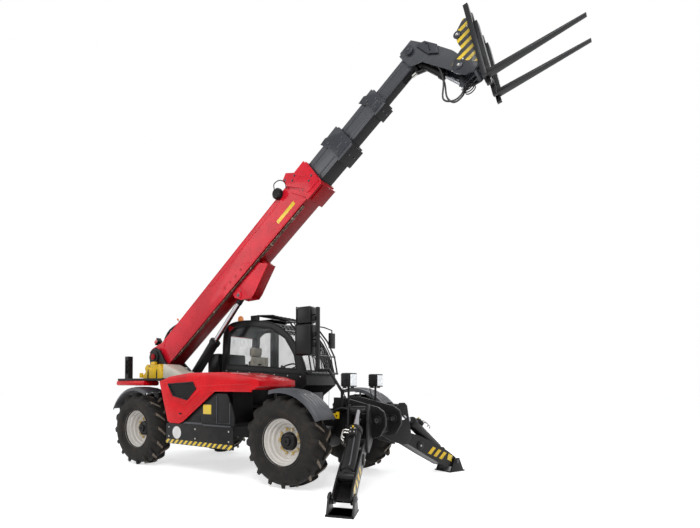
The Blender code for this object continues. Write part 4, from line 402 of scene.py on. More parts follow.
class Piece:
    """Gathers solids in one mesh and gives it to a body."""

    def __init__(self, name, body, finish, matrix=None):
        self.name = name
        self.body = body
        self.mesh = bmesh.new()
        self.slots = []
        self.matrix = matrix or Matrix.Identity(4)
        self.use(finish)

    def use(self, finish):
        if finish not in self.slots:
            self.slots.append(finish)
        self.index = self.slots.index(finish)
        return self

    def keep(self, part, bevel=0, matrix=None, sharp=40):
        """Adds a finished bmesh, with its sharp edges bevelled."""
        if bevel:
            soften(part, bevel, sharp, True)
        bmesh.ops.transform(part, matrix=self.matrix @ (matrix or Matrix.Identity(4)), verts=part.verts)
        for face in part.faces:
            face.material_index = self.index
        pour(part, self.mesh)
        return self

    def box(self, low, high, bevel=BOX_BEVEL, matrix=None):
        part = bmesh.new()
        bmesh.ops.create_cube(part, size=1)
        low, high = Vector(low), Vector(high)
        size = Vector([abs(b - a) for a, b in zip(low, high)])
        place = Matrix.Translation((low + high) / 2) @ Matrix.Diagonal((*size, 1))
        bmesh.ops.transform(part, matrix=place, verts=part.verts)
        return self.keep(part, min(bevel, min(size) * 0.45), matrix)

    def cylinder(self, start, end, radius, sides=24, bevel=0, far=None, matrix=None):
        start, end = Vector(start), Vector(end)
        part = bmesh.new()
        bmesh.ops.create_cone(part, cap_ends=True, segments=sides, radius1=radius,
                              radius2=radius if far is None else far, depth=(end - start).length)
        place = Matrix.Translation((start + end) / 2) @ upright(end - start)
        bmesh.ops.transform(part, matrix=place, verts=part.verts)
        return self.keep(part, bevel, matrix)

    def ball(self, centre, radius, squash=(1, 1, 1), sides=16):
        part = bmesh.new()
        bmesh.ops.create_uvsphere(part, u_segments=sides, v_segments=sides // 2, radius=radius)
        place = Matrix.Translation(centre) @ Matrix.Diagonal((*squash, 1))
        bmesh.ops.transform(part, matrix=place, verts=part.verts)
        return self.keep(part)

    def plate(self, outline, low, high, bevel=PLATE_BEVEL):
        """An outline in the xz plane, thick from y = low to y = high."""
        part = bmesh.new()
        face = part.faces.new([part.verts.new((x, low, z)) for x, z in outline])
        grown = bmesh.ops.extrude_face_region(part, geom=[face])
        moved = [item for item in grown["geom"] if isinstance(item, bmesh.types.BMVert)]
        bmesh.ops.translate(part, verts=moved, vec=Vector((0, high - low, 0)))
        bmesh.ops.recalc_face_normals(part, faces=part.faces)
        return self.keep(part, bevel)

    def turned(self, profile, centre, axis, steps=48, closed=False):
        """A profile of (radius, along) turned about an axis through centre."""
        part = bmesh.new()
        verts = [part.verts.new((radius, 0, along)) for radius, along in profile]
        edges = [part.edges.new(pair) for pair in zip(verts, verts[1:])]
        if closed:
            edges.append(part.edges.new((verts[-1], verts[0])))
        bmesh.ops.spin(part, geom=verts + edges, cent=(0, 0, 0), axis=(0, 0, 1), angle=math.tau, steps=steps)
        bmesh.ops.remove_doubles(part, verts=part.verts, dist=1e-5)
        bmesh.ops.dissolve_degenerate(part, dist=1e-6, edges=part.edges)
        bmesh.ops.recalc_face_normals(part, faces=part.faces)
        bmesh.ops.transform(part, matrix=Matrix.Translation(centre) @ upright(axis), verts=part.verts)
        return self.keep(part)

    def cap(self, place, out, radius, edge, low, top):
        """A pin's head: straight up to low, then a chamfer to the edge's radius at top."""
        profile = [(0, 0), (radius, 0), (radius, low), (edge, top), (0, top)]
        return self.turned(profile, place, out, 32)

    def tube(self, points, radius, sides=10, smooth=True, steps=6, matrix=None):
        """A round tube along the points, on a smooth curve through them unless told otherwise."""
        points = [Vector(point) for point in points]
        path = eased(points, steps) if smooth and len(points) > 2 else points
        part = bmesh.new()
        rings = []
        tangent = (path[1] - path[0]).normalized()
        side = tangent.orthogonal().normalized()
        for index, point in enumerate(path):
            before = path[max(index - 1, 0)]
            after = path[min(index + 1, len(path) - 1)]
            heading = (after - before).normalized()
            side = (side - heading * side.dot(heading)).normalized()
            up = heading.cross(side)
            rings.append([part.verts.new(point + (side * math.cos(angle) + up * math.sin(angle)) * radius)
                          for angle in turns(sides)])
        for ring, following in zip(rings, rings[1:]):
            for index in range(sides):
                part.faces.new((ring[index], ring[(index + 1) % sides],
                                following[(index + 1) % sides], following[index]))
        part.faces.new(rings[0])
        part.faces.new(rings[-1])
        bmesh.ops.recalc_face_normals(part, faces=part.faces)
        return self.keep(part, 0, matrix)

    def bolt(self, place, normal, radius, high=None):
        """A hexagon head on a washer."""
        place, normal = Vector(place), Vector(normal).normalized()
        high = high or radius * 0.7
        self.cylinder(place, place + normal * radius * 0.2, radius * 1.35, 20)
        self.cylinder(place, place + normal * (high + radius * 0.2), radius, 6, radius * 0.12)

    def done(self, *stood_for, sharp=38):
        mesh = bpy.data.meshes.new(self.name)
        for edge in self.mesh.edges:
            if len(edge.link_faces) == 2:
                edge.smooth = edge.calc_face_angle() < math.radians(sharp)
        for face in self.mesh.faces:
            face.smooth = True
        self.mesh.to_mesh(mesh)
        self.mesh.free()
        for finish in self.slots:
            mesh.materials.append(FINISH[finish])
        made = bpy.data.objects.new(self.name, mesh)
        bpy.context.scene.collection.objects.link(made)
        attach(made, self.body)
        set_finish(made, SLOTS[self.slots[0]])
        if stood_for:
            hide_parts(*stood_for)
        return made


def eased(points, steps):
    """Points on a Catmull-Rom curve through the given ones."""
    path = []
    for index in range(len(points) - 1):
        a = points[max(index - 1, 0)]
        b, c = points[index], points[index + 1]
        d = points[min(index + 2, len(points) - 1)]
        for step in range(steps):
            t = step / steps
            path.append(0.5 * (2 * b + (c - a) * t + (2 * a - 5 * b + 4 * c - d) * t ** 2
                               + (3 * b - a - 3 * c + d) * t ** 3))
    path.append(points[-1])
    return path


def refined(node, finish, bevel, choose=None, shape=None):
    """A copy of a CAD node with clean faces and softened edges, which stands for the node."""
    part = bmesh.new()
    part.from_mesh(frame["nodes"][node].data)
    for vert in part.verts if shape else ():
        vert.co = shape(vert.co)
    bmesh.ops.remove_doubles(part, verts=part.verts, dist=1e-5)
    bmesh.ops.dissolve_limit(part, angle_limit=math.radians(0.6), verts=part.verts, edges=part.edges)
    made = Piece(f"{node}_finished", frame["nodes"][node]["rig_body"], finish)
    if bevel:
        soften(part, bevel, 32, False, 3 * bevel)
    bmesh.ops.triangulate(part, faces=[face for face in part.faces if len(face.verts) > 4])
    for face in part.faces:
        other = choose(face.calc_center_median(), face.normal) if choose else None
        face.material_index = made.use(other or finish).index
    pour(part, made.mesh)
    made.done(node)


def boom_place(s, y, n):
    return BOOM @ Vector((s, y, n))


def wheel_centre(corner):
    low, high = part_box(f"tyre_{corner}")
    return (low + high) / 2


# Wheels

LUGS = 16
LUG_STATIONS = 9
LUG_HEIGHT = 0.036
# How far round the tyre a lug slants on its way out, in radians
LUG_TURN = 0.25
# Below 1, a lug's stations lie closer together towards the shoulder
LUG_CURVE = 0.9
# Share of a lug's length where it starts to fall over the shoulder
LUG_SHOULDER = 0.86
# How far round the tyre the first lug of each row starts, in lugs
LUG_STARTS = {-1: 0.71, 1: 0.21}
SIDEWALL_RINGS = (0.6, 0.66, 0.735)
# Across the tyre as a share of its half width; tread radius as a share of the tyre's
CARCASS_SHARES = ((0, 0.945), (0.35, 0.942), (0.62, 0.925), (0.8, 0.89), (0.92, 0.835), (0.985, 0.765),
                  (1, 0.7), (0.97, 0.635), (0.9, 0.585), (0.84, 0.56), (0.8, 0.52), (0.66, 0.507))


def carcass_radius(across):
    """Radius of the bare tyre at a share, at most 1, of its half width."""
    for (a, low), (b, high) in zip(CARCASS_SHARES, CARCASS_SHARES[1:]):
        if across <= b:
            return TYRE_RADIUS * (low + (high - low) * (across - a) / (b - a))


def lug(way, half, start):
    """A slanted lug from the tread's middle out over the shoulder."""
    part = bmesh.new()
    rows = []
    for station in range(LUG_STATIONS):
        t = station / (LUG_STATIONS - 1)
        across = 0.03 + 0.95 * t ** LUG_CURVE
        base = carcass_radius(min(across, 0.985)) - 0.008
        crown = TYRE_RADIUS - STEP - 0.06 * max(0, t - 0.62) ** 1.2 - 0.004 * t
        if t > LUG_SHOULDER:
            crown = base + LUG_HEIGHT * (1 - t) / (1 - LUG_SHOULDER) + 0.01
        crown = min(crown, TYRE_RADIUS - STEP)
        turn = start + LUG_TURN * t ** LUG_CURVE
        wide = (0.024 + 0.016 * t) if t < 0.9 else 0.034
        y = way * half * min(across, 0.992)
        row = []
        for radius, spread in ((base, 1.3), (crown, 0.8), (crown, -0.8), (base, -1.3)):
            angle = turn + wide * spread / TYRE_RADIUS
            row.append(part.verts.new((radius * math.cos(angle), y, radius * math.sin(angle))))
        rows.append(row)
    for row, following in zip(rows, rows[1:]):
        for k in range(4):
            part.faces.new((row[k], row[(k + 1) % 4], following[(k + 1) % 4], following[k]))
    part.faces.new(rows[0])
    part.faces.new(rows[-1])
    return part


def tyre(corner):
    """Tyre with two rows of slanted lugs that run out over the shoulder."""
    sign = SIDES[corner.split("_")[1]]
    centre = wheel_centre(corner)
    made = Piece(f"tread_tyre_{corner}", f"wheel_{corner}", "rubber")
    half = TYRE_WIDTH / 2 - STEP
    side = [(r * TYRE_RADIUS, a * half) for a, r in CARCASS_SHARES]
    profile = [(r, -y) for r, y in reversed(side)] + side[1:]
    made.turned(profile, centre, (0, 1, 0), 96, closed=True)
    for share in SIDEWALL_RINGS:
        radius = share * TYRE_RADIUS
        face = half * (0.9 + 0.09 * math.sin(math.pi * (share - 0.55) / 0.3))
        for way in WAYS:
            ridge = [(radius - 0.006, face - 0.004), (radius, face + 0.002), (radius + 0.006, face - 0.004)]
            made.turned(ridge, centre, (0, way, 0), 96, closed=True)
    for way in WAYS:
        for start in turns(LUGS, LUG_STARTS[way]):
            part = lug(way, half, start)
            bmesh.ops.transform(part, matrix=Matrix.Scale(-sign, 4, (1, 0, 0)), verts=part.verts)
            bmesh.ops.recalc_face_normals(part, faces=part.faces)
            made.keep(part, 0.005, Matrix.Translation(centre), 50)
    made.use("lug_top")
    for face in made.mesh.faces:
        from_axle = face.calc_center_median() - centre
        radial = Vector((from_axle.x, 0, from_axle.z))
        if radial.length > TYRE_RADIUS * 0.953 and face.normal.dot(radial.normalized()) > 0.7:
            face.material_index = made.index
    made.done(f"tyre_{corner}")


# Outer face of the rim: radius as a share of the rim's, place as a share of its half width
RIM_OUTER_SHARES = (
    (0.3, -0.3), (0.655, -0.3), (0.675, -0.285), (0.7, -0.2), (0.705, -0.02), (0.715, 0.02), (0.775, 0.045),
    (0.79, 0.075), (0.795, 0.34), (0.805, 0.37), (0.855, 0.395), (0.868, 0.43), (0.872, 0.66), (0.885, 0.7),
    (0.92, 0.72), (0.932, 0.76), (0.936, 0.9), (0.955, 0.955), (0.99, 0.975), (1, 0.955), (0.985, 0.93),
    (0.955, 0.9), (0.92, 0.7), (0.9, 0.3), (0.86, 0), (0.8, -0.36), (0.3, -0.42),
)
# Its back, turned on the other side of the wheel's middle plane
RIM_INNER_SHARES = ((0.8, -0.36), (0.92, -0.6), (0.93, -0.9), (0.99, -0.97), (1, -0.95), (0.96, -0.9),
                    (0.955, -0.58), (0.84, -0.33))
RIM_DISC = -0.3 * RIM_WIDTH / 2
HUB = ((0, 0.052), (0.055, 0.052), (0.062, 0.046), (0.066, 0.02), (0.105, 0.012), (0.116, 0.002),
       (0.12, -0.03), (0.128, -0.055), (0.128, RIM_DISC - 0.01), (0, RIM_DISC - 0.01))
NUTS = 10
NUT_CIRCLE = 0.165
INDICATOR = ((0.0165, 0.01), (0.0225, 0.01), (0.0225, 0.019), (0.0165, 0.019))


def around(angle, radius):
    """A place on a circle in the xz plane."""
    return Vector((math.cos(angle), 0, math.sin(angle))) * radius


def rim(corner):
    """Stepped steel rim with its hub, wheel nuts and yellow nut indicators."""
    centre = wheel_centre(corner)
    out = Vector((0, SIDES[corner.split("_")[1]], 0))
    made = Piece(f"stepped_rim_{corner}", f"wheel_{corner}", "silver")
    for shares in (RIM_OUTER_SHARES, RIM_INNER_SHARES):
        made.turned([(r * RIM_RADIUS, y * RIM_WIDTH / 2) for r, y in shares], centre, out, 96, closed=True)
    made.use("black")
    made.turned(HUB, centre, out, 48)
    for angle in turns(6, 0.5):
        made.bolt(centre + out * 0.009 + around(angle, 0.088), out, 0.009)
    made.bolt(centre + out * 0.05, out, 0.017, 0.012)
    seats = [centre + out * RIM_DISC + around(angle, NUT_CIRCLE) for angle in turns(NUTS)]
    for index, seat in enumerate(seats):
        made.use("zinc")
        made.cylinder(seat, seat + out * 0.006, 0.021, 20)
        made.cylinder(seat, seat + out * 0.026, 0.0155, 6, 0.002)
        made.cylinder(seat + out * 0.024, seat + out * 0.037, 0.008, 12)
        if index % 2 == 0:
            made.use("yellow")
            following = seats[index + 1]
            across = (following - seat).normalized()
            for place in (seat, following):
                made.turned(INDICATOR, place, out, 20, closed=True)
            made.tube([seat + out * 0.0145 + across * 0.0215, following + out * 0.0145 - across * 0.0215],
                      0.0045, 8)
    made.use("dark_metal")
    valve = centre + out * (0.4 * RIM_WIDTH / 2) + Vector((0.8, 0, 0.02)) * RIM_RADIUS * 0.98
    made.cylinder(valve, valve + out * 0.04 - Vector((0.02, 0, 0)), 0.005, 8)
    made.done(f"rim_{corner}")


def wheels():
    for corner in WHEELS:
        tyre(corner)
        rim(corner)


# Cab: panes, seat, dash and fittings

# Corners of the window openings in the xz plane
RIGHT_WINDOW = ((-1.974, 1.735), (-0.416, 1.625), (-0.473, 1.871), (-0.653, 2.143), (-0.957, 2.33),
                (-1.432, 2.407), (-1.793, 2.398), (-1.926, 2.33))
DOOR_WINDOW = ((-1.489, 1.65), (-0.416, 1.616), (-0.501, 1.854), (-0.691, 2.109), (-0.976, 2.279),
               (-1.356, 2.339), (-1.489, 2.339))
LEFT_REAR_WINDOW = ((-1.993, 1.684), (-1.651, 1.684), (-1.651, 2.381), (-1.831, 2.381), (-1.955, 2.296))
WINDSCREEN = ((-0.9, 2.402), (-0.76, 2.318), (-0.606, 2.214), (-0.425, 1.984), (-0.3, 1.714), (-0.252, 1.57))
CAB_LOW_Y, CAB_HIGH_Y = 0.27, 1.17
PANE = 0.005
SEAL = 0.011


def pane(name, body, outline, face, way):
    """A side pane and its rubber seal."""
    made = Piece(f"{name}_pane", body, "glass")
    made.plate(outline, face - way * 0.018 - PANE / 2, face - way * 0.018 + PANE / 2, 0)
    made.done()
    seal = Piece(f"{name}_seal", body, "trim")
    ring = [Vector((x, face - way * 0.004, z)) for x, z in outline]
    for start, end in zip(ring, ring[1:] + ring[:1]):
        seal.tube([start, end], SEAL, 8)
        seal.ball(start, SEAL, sides=8)
    seal.done(sharp=60)


def strip(points, thick):
    """A bent sheet's outline from the points of its outer side."""
    path = eased([Vector((x, 0, z)) for x, z in points], 5)
    inner = []
    for index, place in enumerate(path):
        along = path[min(index + 1, len(path) - 1)] - path[max(index - 1, 0)]
        inner.append(place + Vector((-along.z, 0, along.x)).normalized() * thick)
    return [(v.x, v.z) for v in path] + [(v.x, v.z) for v in reversed(inner)]


def glazing():
    pane("right_window", "chassis", RIGHT_WINDOW, CAB_LOW_Y, -1)
    pane("left_rear_window", "chassis", LEFT_REAR_WINDOW, CAB_HIGH_Y, 1)
    pane("door_window", "door", DOOR_WINDOW, CAB_HIGH_Y, 1)
    screen = Piece("windscreen_pane", "chassis", "glass")
    screen.plate(strip(WINDSCREEN, PANE), 0.322, 1.118, 0)
    screen.done()
    rear = Piece("rear_window_pane", "chassis", "glass")
    rear.box((-2.088, 0.372, 1.652), (-2.083, 1.068, 2.277), 0)
    rear.done()
    fittings = Piece("window_fittings", "chassis", "trim")
    for x in (-1.5, -1.2):
        fittings.box((x - 0.03, 0.254, 1.7), (x + 0.03, 0.268, 1.73))
    fittings.cylinder((-0.26, 0.72, 1.575), (-0.222, 0.72, 1.59), 0.022, 16, 0.003)
    fittings.tube([(-0.27, 0.72, 1.632), (-0.315, 0.66, 1.812), (-0.405, 0.6, 2.012)], 0.007, 8)
    fittings.box((-0.012, -0.006, -0.23), (0, 0.006, 0.23), 0.002,
                 Matrix.Translation((-0.385, 0.6, 1.98)) @ Matrix.Rotation(math.radians(-24), 4, "Y"))
    fittings.done()


CUSHION_CELLS = 22


def cushion(name, size, place, crown, seams, lean=0):
    """A crowned, creased cushion with welted seams."""
    wide, deep, high = size
    part = bmesh.new()
    stations = [2 * step / CUSHION_CELLS - 1 for step in range(CUSHION_CELLS + 1)]
    for side in (1, -1):
        grid = []
        for u in stations:
            row = []
            for v in stations:
                swell = max((1 - abs(u) ** 3.2) * (1 - abs(v) ** 3.2), 0) ** 0.42
                groove = sum(0.02 * math.exp(-((v - seam) / 0.045) ** 2) for seam in seams)
                crease = (0.0035 * math.sin(7 * u + 3 * v + 1.3 * math.sin(5 * v))
                          + 0.0025 * math.sin(15 * u * v + 4 * u))
                lift = side * (high / 2 * swell + crown * swell * (1 - u * u * 0.6) - groove * swell)
                row.append(part.verts.new((u * wide / 2, v * deep / 2, lift + crease * swell)))
            grid.append(row)
        for row, following in zip(grid, grid[1:]):
            for j in range(CUSHION_CELLS):
                quad = (row[j], following[j], following[j + 1], row[j + 1])
                part.faces.new(quad if side > 0 else quad[::-1])
    bmesh.ops.remove_doubles(part, verts=part.verts, dist=1e-4)
    made = Piece(name, "chassis", "cloth")
    turn = Matrix.Translation(place) @ Matrix.Rotation(lean, 4, "Y")
    made.keep(part, 0, turn)
    made.use("trim")
    welt = []
    for angle in turns(48):
        c, q = math.cos(angle), math.sin(angle)
        scale = (abs(c) ** 6 + abs(q) ** 6) ** (-1 / 6)
        welt.append(turn @ Vector((c * scale * wide / 2 * 0.985, q * scale * deep / 2 * 0.985, 0)))
    made.tube(welt + welt[:1], 0.005, 8, False)
    made.done()


def cabin():
    seat = Piece("seat_frame", "chassis", "trim")
    seat.box((-1.66, 0.5, 0.852), (-1.16, 0.94, 0.9), 0.006)
    for level in range(7):
        inset, z = 0.008 * (level % 2), 0.9 + level * 0.036
        seat.box((-1.62 + inset, 0.53 + inset, z), (-1.2 - inset, 0.91 - inset, z + 0.034), 0.012)
    seat.box((-1.67, 0.49, 1.155), (-1.14, 0.95, 1.2), 0.012)
    seat.box((-1.72, 0.56, 1.22), (-1.66, 0.88, 1.8), 0.02)
    for y in (0.44, 0.945):
        seat.box((-1.56, y, 1.5), (-1.22, y + 0.055, 1.555), 0.02)
        seat.box((-1.6, y + 0.012, 1.38), (-1.55, y + 0.043, 1.54), 0.008)
    seat.use("grey")
    seat.box((-1.5, 0.952, 1.555), (-1.38, 0.992, 1.575), 0.006)
    seat.tube([(-1.3, 0.97, 1.55), (-1.28, 0.97, 1.62), (-1.25, 0.97, 1.68)], 0.011, 10)
    seat.ball((-1.25, 0.97, 1.7), 0.026, (1, 1, 1.3), 12)
    seat.done("cab_interior")
    cushion("seat_cushion", (0.54, 0.5, 0.1), (-1.4, 0.72, 1.275), 0.022, (-0.55, 0.55))
    cushion("seat_back", (0.56, 0.49, 0.1), (-1.615, 0.72, 1.6), 0.022, (-0.55, 0.55), math.radians(-82))
    cushion("seat_head_rest", (0.17, 0.3, 0.09), (-1.675, 0.72, 1.975), 0.012, (), math.radians(-84))
    cushion("rear_shelf_cover", (0.24, 0.7, 0.1), (-1.93, 0.72, 1.56), 0.02, (-0.3, 0.4), math.radians(-58))
    dash = Piece("dashboard", "chassis", "grey")
    dash.plate([(-0.86, 0.852), (-0.8, 1.42), (-0.84, 1.5), (-0.8, 1.57), (-0.7, 1.6), (-0.56, 1.545),
                (-0.4, 1.5), (-0.36, 1.36), (-0.44, 0.852)], 0.5, 1.02, 0.018)
    dash.box((-0.82, 0.37, 1.2), (-0.42, 0.5, 1.46), 0.03)
    dash.use("trim")
    dash.plate([(-0.842, 1.5), (-0.815, 1.575), (-0.735, 1.605), (-0.735, 1.575), (-0.79, 1.55)], 0.56, 0.96,
               0.008)
    for y in (0.56, 0.64, 0.72, 0.8, 0.88):
        dash.box((-0.848, y, 1.3), (-0.826, y + 0.05, 1.345))
    dash.use("white_lens")
    for y in (0.66, 0.8):
        dash.cylinder((-0.835, y, 1.53), (-0.823, y, 1.535), 0.032, 24)
    dash.done()
    wheel = Piece("steering_wheel", "chassis", "trim")
    hub = Vector((-0.966, 0.72, 1.64))
    axis = Vector((-0.5, 0, 0.866))
    across = Vector((0, 1, 0))
    up = axis.cross(across).normalized()
    ring = [hub + (across * math.cos(a) + up * math.sin(a)) * 0.19 for a in turns(40) + [math.tau]]
    wheel.tube(ring, 0.0145, 10, False)
    for angle in (90, 210, 330):
        a = math.radians(angle)
        spoke = across * math.cos(a) + up * math.sin(a)
        wheel.tube([hub + spoke * 0.03 - axis * 0.02, hub + spoke * 0.1 - axis * 0.012, hub + spoke * 0.19],
                   0.011, 8)
    wheel.cylinder(hub - axis * 0.035, hub + axis * 0.006, 0.045, 24, 0.006)
    wheel.cylinder(hub - axis * 0.03, (-0.78, 0.72, 1.32), 0.03, 16, 0, 0.045)
    wheel.done()
    floor = Piece("cab_floor_mat", "chassis", "rope")
    floor.box((-1.86, 0.375, 0.8515), (-0.42, 1.06, 0.862), 0.004)
    for row in range(9):
        floor.box((-1.1 + row * 0.03, 0.42, 0.862), (-1.088 + row * 0.03, 1.02, 0.866), 0.0015)
    floor.use("dark_metal")
    for y in (0.6, 0.72, 0.86):
        floor.box((-0.93, y, 0.93), (-0.9, y + 0.07, 1.04), 0.006)
        floor.tube([(-0.915, y + 0.035, 0.95), (-0.86, y + 0.035, 0.9)], 0.009, 8)
    floor.done()


def cab_trim():
    made = Piece("cab_trim", "chassis", "red")
    roof = [(-2.078, 2.27), (-2.068, 2.33), (-2.02, 2.41), (-1.95, 2.47), (-1.8, 2.508), (-1.56, 2.5085)]
    made.plate(strip(roof, -0.006), 0.34, 1.1, 0.002)
    made.use("trim")
    made.tube([(-2.04, 0.268, 1.642), (-0.335, 0.268, 1.545)], 0.009, 8, False)
    edge = [(-2.104, 1.3), (-2.075, 2.25), (-1.98, 2.42), (-1.8, 2.493), (-1.4, 2.495), (-0.93, 2.418),
            (-0.6, 2.222), (-0.41, 1.985), (-0.288, 1.715), (-0.24, 1.55), (-0.226, 1.36)]
    for y in (0.276, 1.16):
        made.tube([(x, y, z) for x, z in edge], 0.013, 8, True, 5)
    made.box((-1.55, 0.42, 2.497), (-1.05, 1.02, 2.512), 0.006)
    for y in (0.5, 0.62, 0.74, 0.86, 0.94):
        made.box((-1.5, y, 2.512), (-1.1, y + 0.03, 2.522), 0.004)
    made.use("zinc")
    for x in (-2, -1.72, -1.44, -1.16, -0.88, -0.6, -0.34):
        made.bolt((x, CAB_LOW_Y - 0.0005, 1.62 - 0.072 * (x + 2)), (0, -1, 0), 0.008)
    for x, z in ((-2.05, 0.95), (-2.05, 1.25), (-0.3, 0.95), (-0.3, 1.2)):
        made.bolt((x, CAB_LOW_Y - 0.0005, z), (0, -1, 0), 0.009)
    made.done()
    door = Piece("door_fittings", "door", "trim")
    door.box((-1.5, 1.17, 1.46), (-1.34, 1.182, 1.54), 0.006)
    door.tube([(-1.48, 1.176, 1.5), (-1.47, 1.212, 1.5), (-1.37, 1.212, 1.5), (-1.36, 1.176, 1.5)], 0.009, 8)
    door.tube([(-0.62, 1.172, 1.02), (-0.62, 1.2, 1.05), (-0.62, 1.2, 1.42), (-0.62, 1.172, 1.45)], 0.011, 8)
    seam = [(-1.545, 0.93), (-0.36, 0.93), (-0.345, 1.5)]
    door.tube([(x, 1.171, z) for x, z in seam], 0.005, 6, False)
    door.box((-1.46, 1.17, 1.05), (-0.72, 1.175, 1.4), 0.003)
    door.done()
    beacon = (-1.786, 0.42, 2.5005)
    lamp = Piece("beacon_base", "chassis", "trim")
    lamp.cap(beacon, (0, 0, 1), 0.068, 0.06, 0.018, 0.026)
    lamp.done()
    light = Piece("beacon_lens", "chassis", "amber")
    light.turned([(0, 0.026), (0.056, 0.026), (0.058, 0.034), (0.055, 0.04), (0.0575, 0.048), (0.054, 0.056),
                  (0.056, 0.064), (0.052, 0.074), (0.054, 0.082), (0.049, 0.098), (0.038, 0.116),
                  (0.02, 0.127), (0, 0.1295)], beacon, (0, 0, 1), 40)
    light.done("beacon")


def lights():
    for side, sign in SIDES.items():
        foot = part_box(f"work_light_{side}")[0].z
        middle = sign * 0.4
        made = Piece(f"work_light_{side}_housing", "chassis", "trim", Matrix.Translation((0, middle, 0)))
        made.box((0.862, -0.1, 1.34), (0.985, 0.1, 1.53), 0.022)
        for fin in range(6):
            made.box((0.853, -0.085, 1.362 + fin * 0.027), (0.868, 0.085, 1.37 + fin * 0.027), 0.002)
        made.box((0.975, -0.099, 1.341), (1.004, 0.099, 1.529), 0.01)
        made.tube([(0.93, 0, 1.345), (0.93, 0, 1.28), (0.93, 0, foot + 0.01)], 0.016, 12, False)
        made.cylinder((0.93, 0, foot), (0.93, 0, foot + 0.012), 0.04, 20, 0.002)
        made.box((0.905, -0.108, 1.33), (0.955, -0.1, 1.45), 0.003)
        made.box((0.905, 0.1, 1.33), (0.955, 0.108, 1.45), 0.003)
        made.box((0.905, -0.108, 1.322), (0.955, 0.108, 1.332), 0.003)
        for way in WAYS:
            made.bolt((0.93, way * 0.109, 1.43), (0, way, 0), 0.01)
        made.tube([(0.87, 0, 1.37), (0.84, 0, 1.32), (0.86, 0.02, 1.2), (0.9, 0.02, 1.06)], 0.006, 8)
        made.done(f"work_light_{side}")
        glass = Piece(f"work_light_{side}_lens", "chassis", "white_lens")
        glass.box((1, middle - 0.083, 1.357), (1.009, middle + 0.083, 1.513), 0.006)
        for z in (1.397, 1.475):
            for y in (middle - 0.04, middle + 0.04):
                glass.cylinder((1.002, y, z), (1.012, y, z), 0.033, 20, 0.002)
        glass.done()


def mirrors():
    faces = Piece("mirror_faces", "chassis", "mirror")
    for low_z, high_z, y, half in ((2.275, 2.495, -0.33, 0.064), (1.825, 2.225, -0.33, 0.082)):
        faces.box((0.0525, y - half, low_z), (0.0565, y + half, high_z), 0.0015)
    faces.box((-0.4635, 1.4 - 0.072, 2.045), (-0.4605, 1.4 + 0.072, 2.295), 0.001)
    faces.done()
    rims = Piece("mirror_rims", "chassis", "trim")
    for low_z, high_z, half in ((2.262, 2.508, 0.078), (1.802, 2.248, 0.097)):
        for z in (low_z, high_z):
            rims.tube([(0.06, -0.33 - half, z), (0.06, -0.33 + half, z)], 0.007, 8, False)
        for y in (-0.33 - half, -0.33 + half):
            rims.tube([(0.06, y, low_z), (0.06, y, high_z)], 0.007, 8, False)
    for z in (2.33, 2.1, 1.95):
        rims.box((0.29, -0.375, z - 0.03), (0.37, -0.285, z + 0.03), 0.008)
        rims.bolt((0.385, -0.33, z), (1, 0, 0), 0.009)
    rims.done()


# Bonnet, skirt and fenders

GRILLE = ((-1.925, 1.372), (-1.346, 1.402), (-1.275, 1.305), (-1.474, 1.132), (-1.799, 1.19))
VENT = (-0.21, 0, 1.47)


def bonnet_trim():
    made = Piece("bonnet_trim", "engine_bonnet", "trim")
    edges = list(zip(GRILLE, GRILLE[1:] + GRILLE[:1]))
    for start, end in edges:
        made.tube([(start[0], -1.152, start[1]), (end[0], -1.152, end[1])], 0.01, 8, False)
    for row in range(9):
        z = 1.165 + row * 0.026
        spans = []
        for (ax, az), (bx, bz) in edges:
            if (az - z) * (bz - z) < 0:
                spans.append(ax + (bx - ax) * (z - az) / (bz - az))
        if len(spans) == 2:
            made.box((min(spans) + 0.01, -1.1545, z - 0.004), (max(spans) - 0.01, -1.146, z + 0.004), 0.002)
    lean = Matrix.Rotation(math.radians(15.5), 4, "Y")
    made.box((-0.09, -0.94, -0.012), (0.09, -0.52, -0.004), BOX_BEVEL, Matrix.Translation(VENT) @ lean)
    made.box((-1.66, -1.155, 0.9), (-1.6, -1.149, 0.925), 0.003)
    made.done()
    crease = Piece("bonnet_crease", "engine_bonnet", "red")
    fold = ((-1.985, 1.405), (-1.865, 1.15), (-1.5, 1.045), (-1.18, 1.27), (-1.2, 1.3), (-1.492, 1.08),
            (-1.838, 1.178), (-1.945, 1.405))
    crease.plate(fold, -1.1565, -1.149, 0.003)
    ridge = ((-1.3, 1.335), (-0.3, 1.372), (-0.16, 1.352))
    crease.tube([(x, -1.149, z) for x, z in ridge], 0.007, 8)
    crease.tube([(-1.68, -1.149, 0.8), (-1.48, -1.149, 0.9), (-1.1, -1.149, 1.2), (-0.92, -1.149, 1.272),
                 (-0.16, -1.149, 1.272)], 0.008, 8, False)
    crease.done()


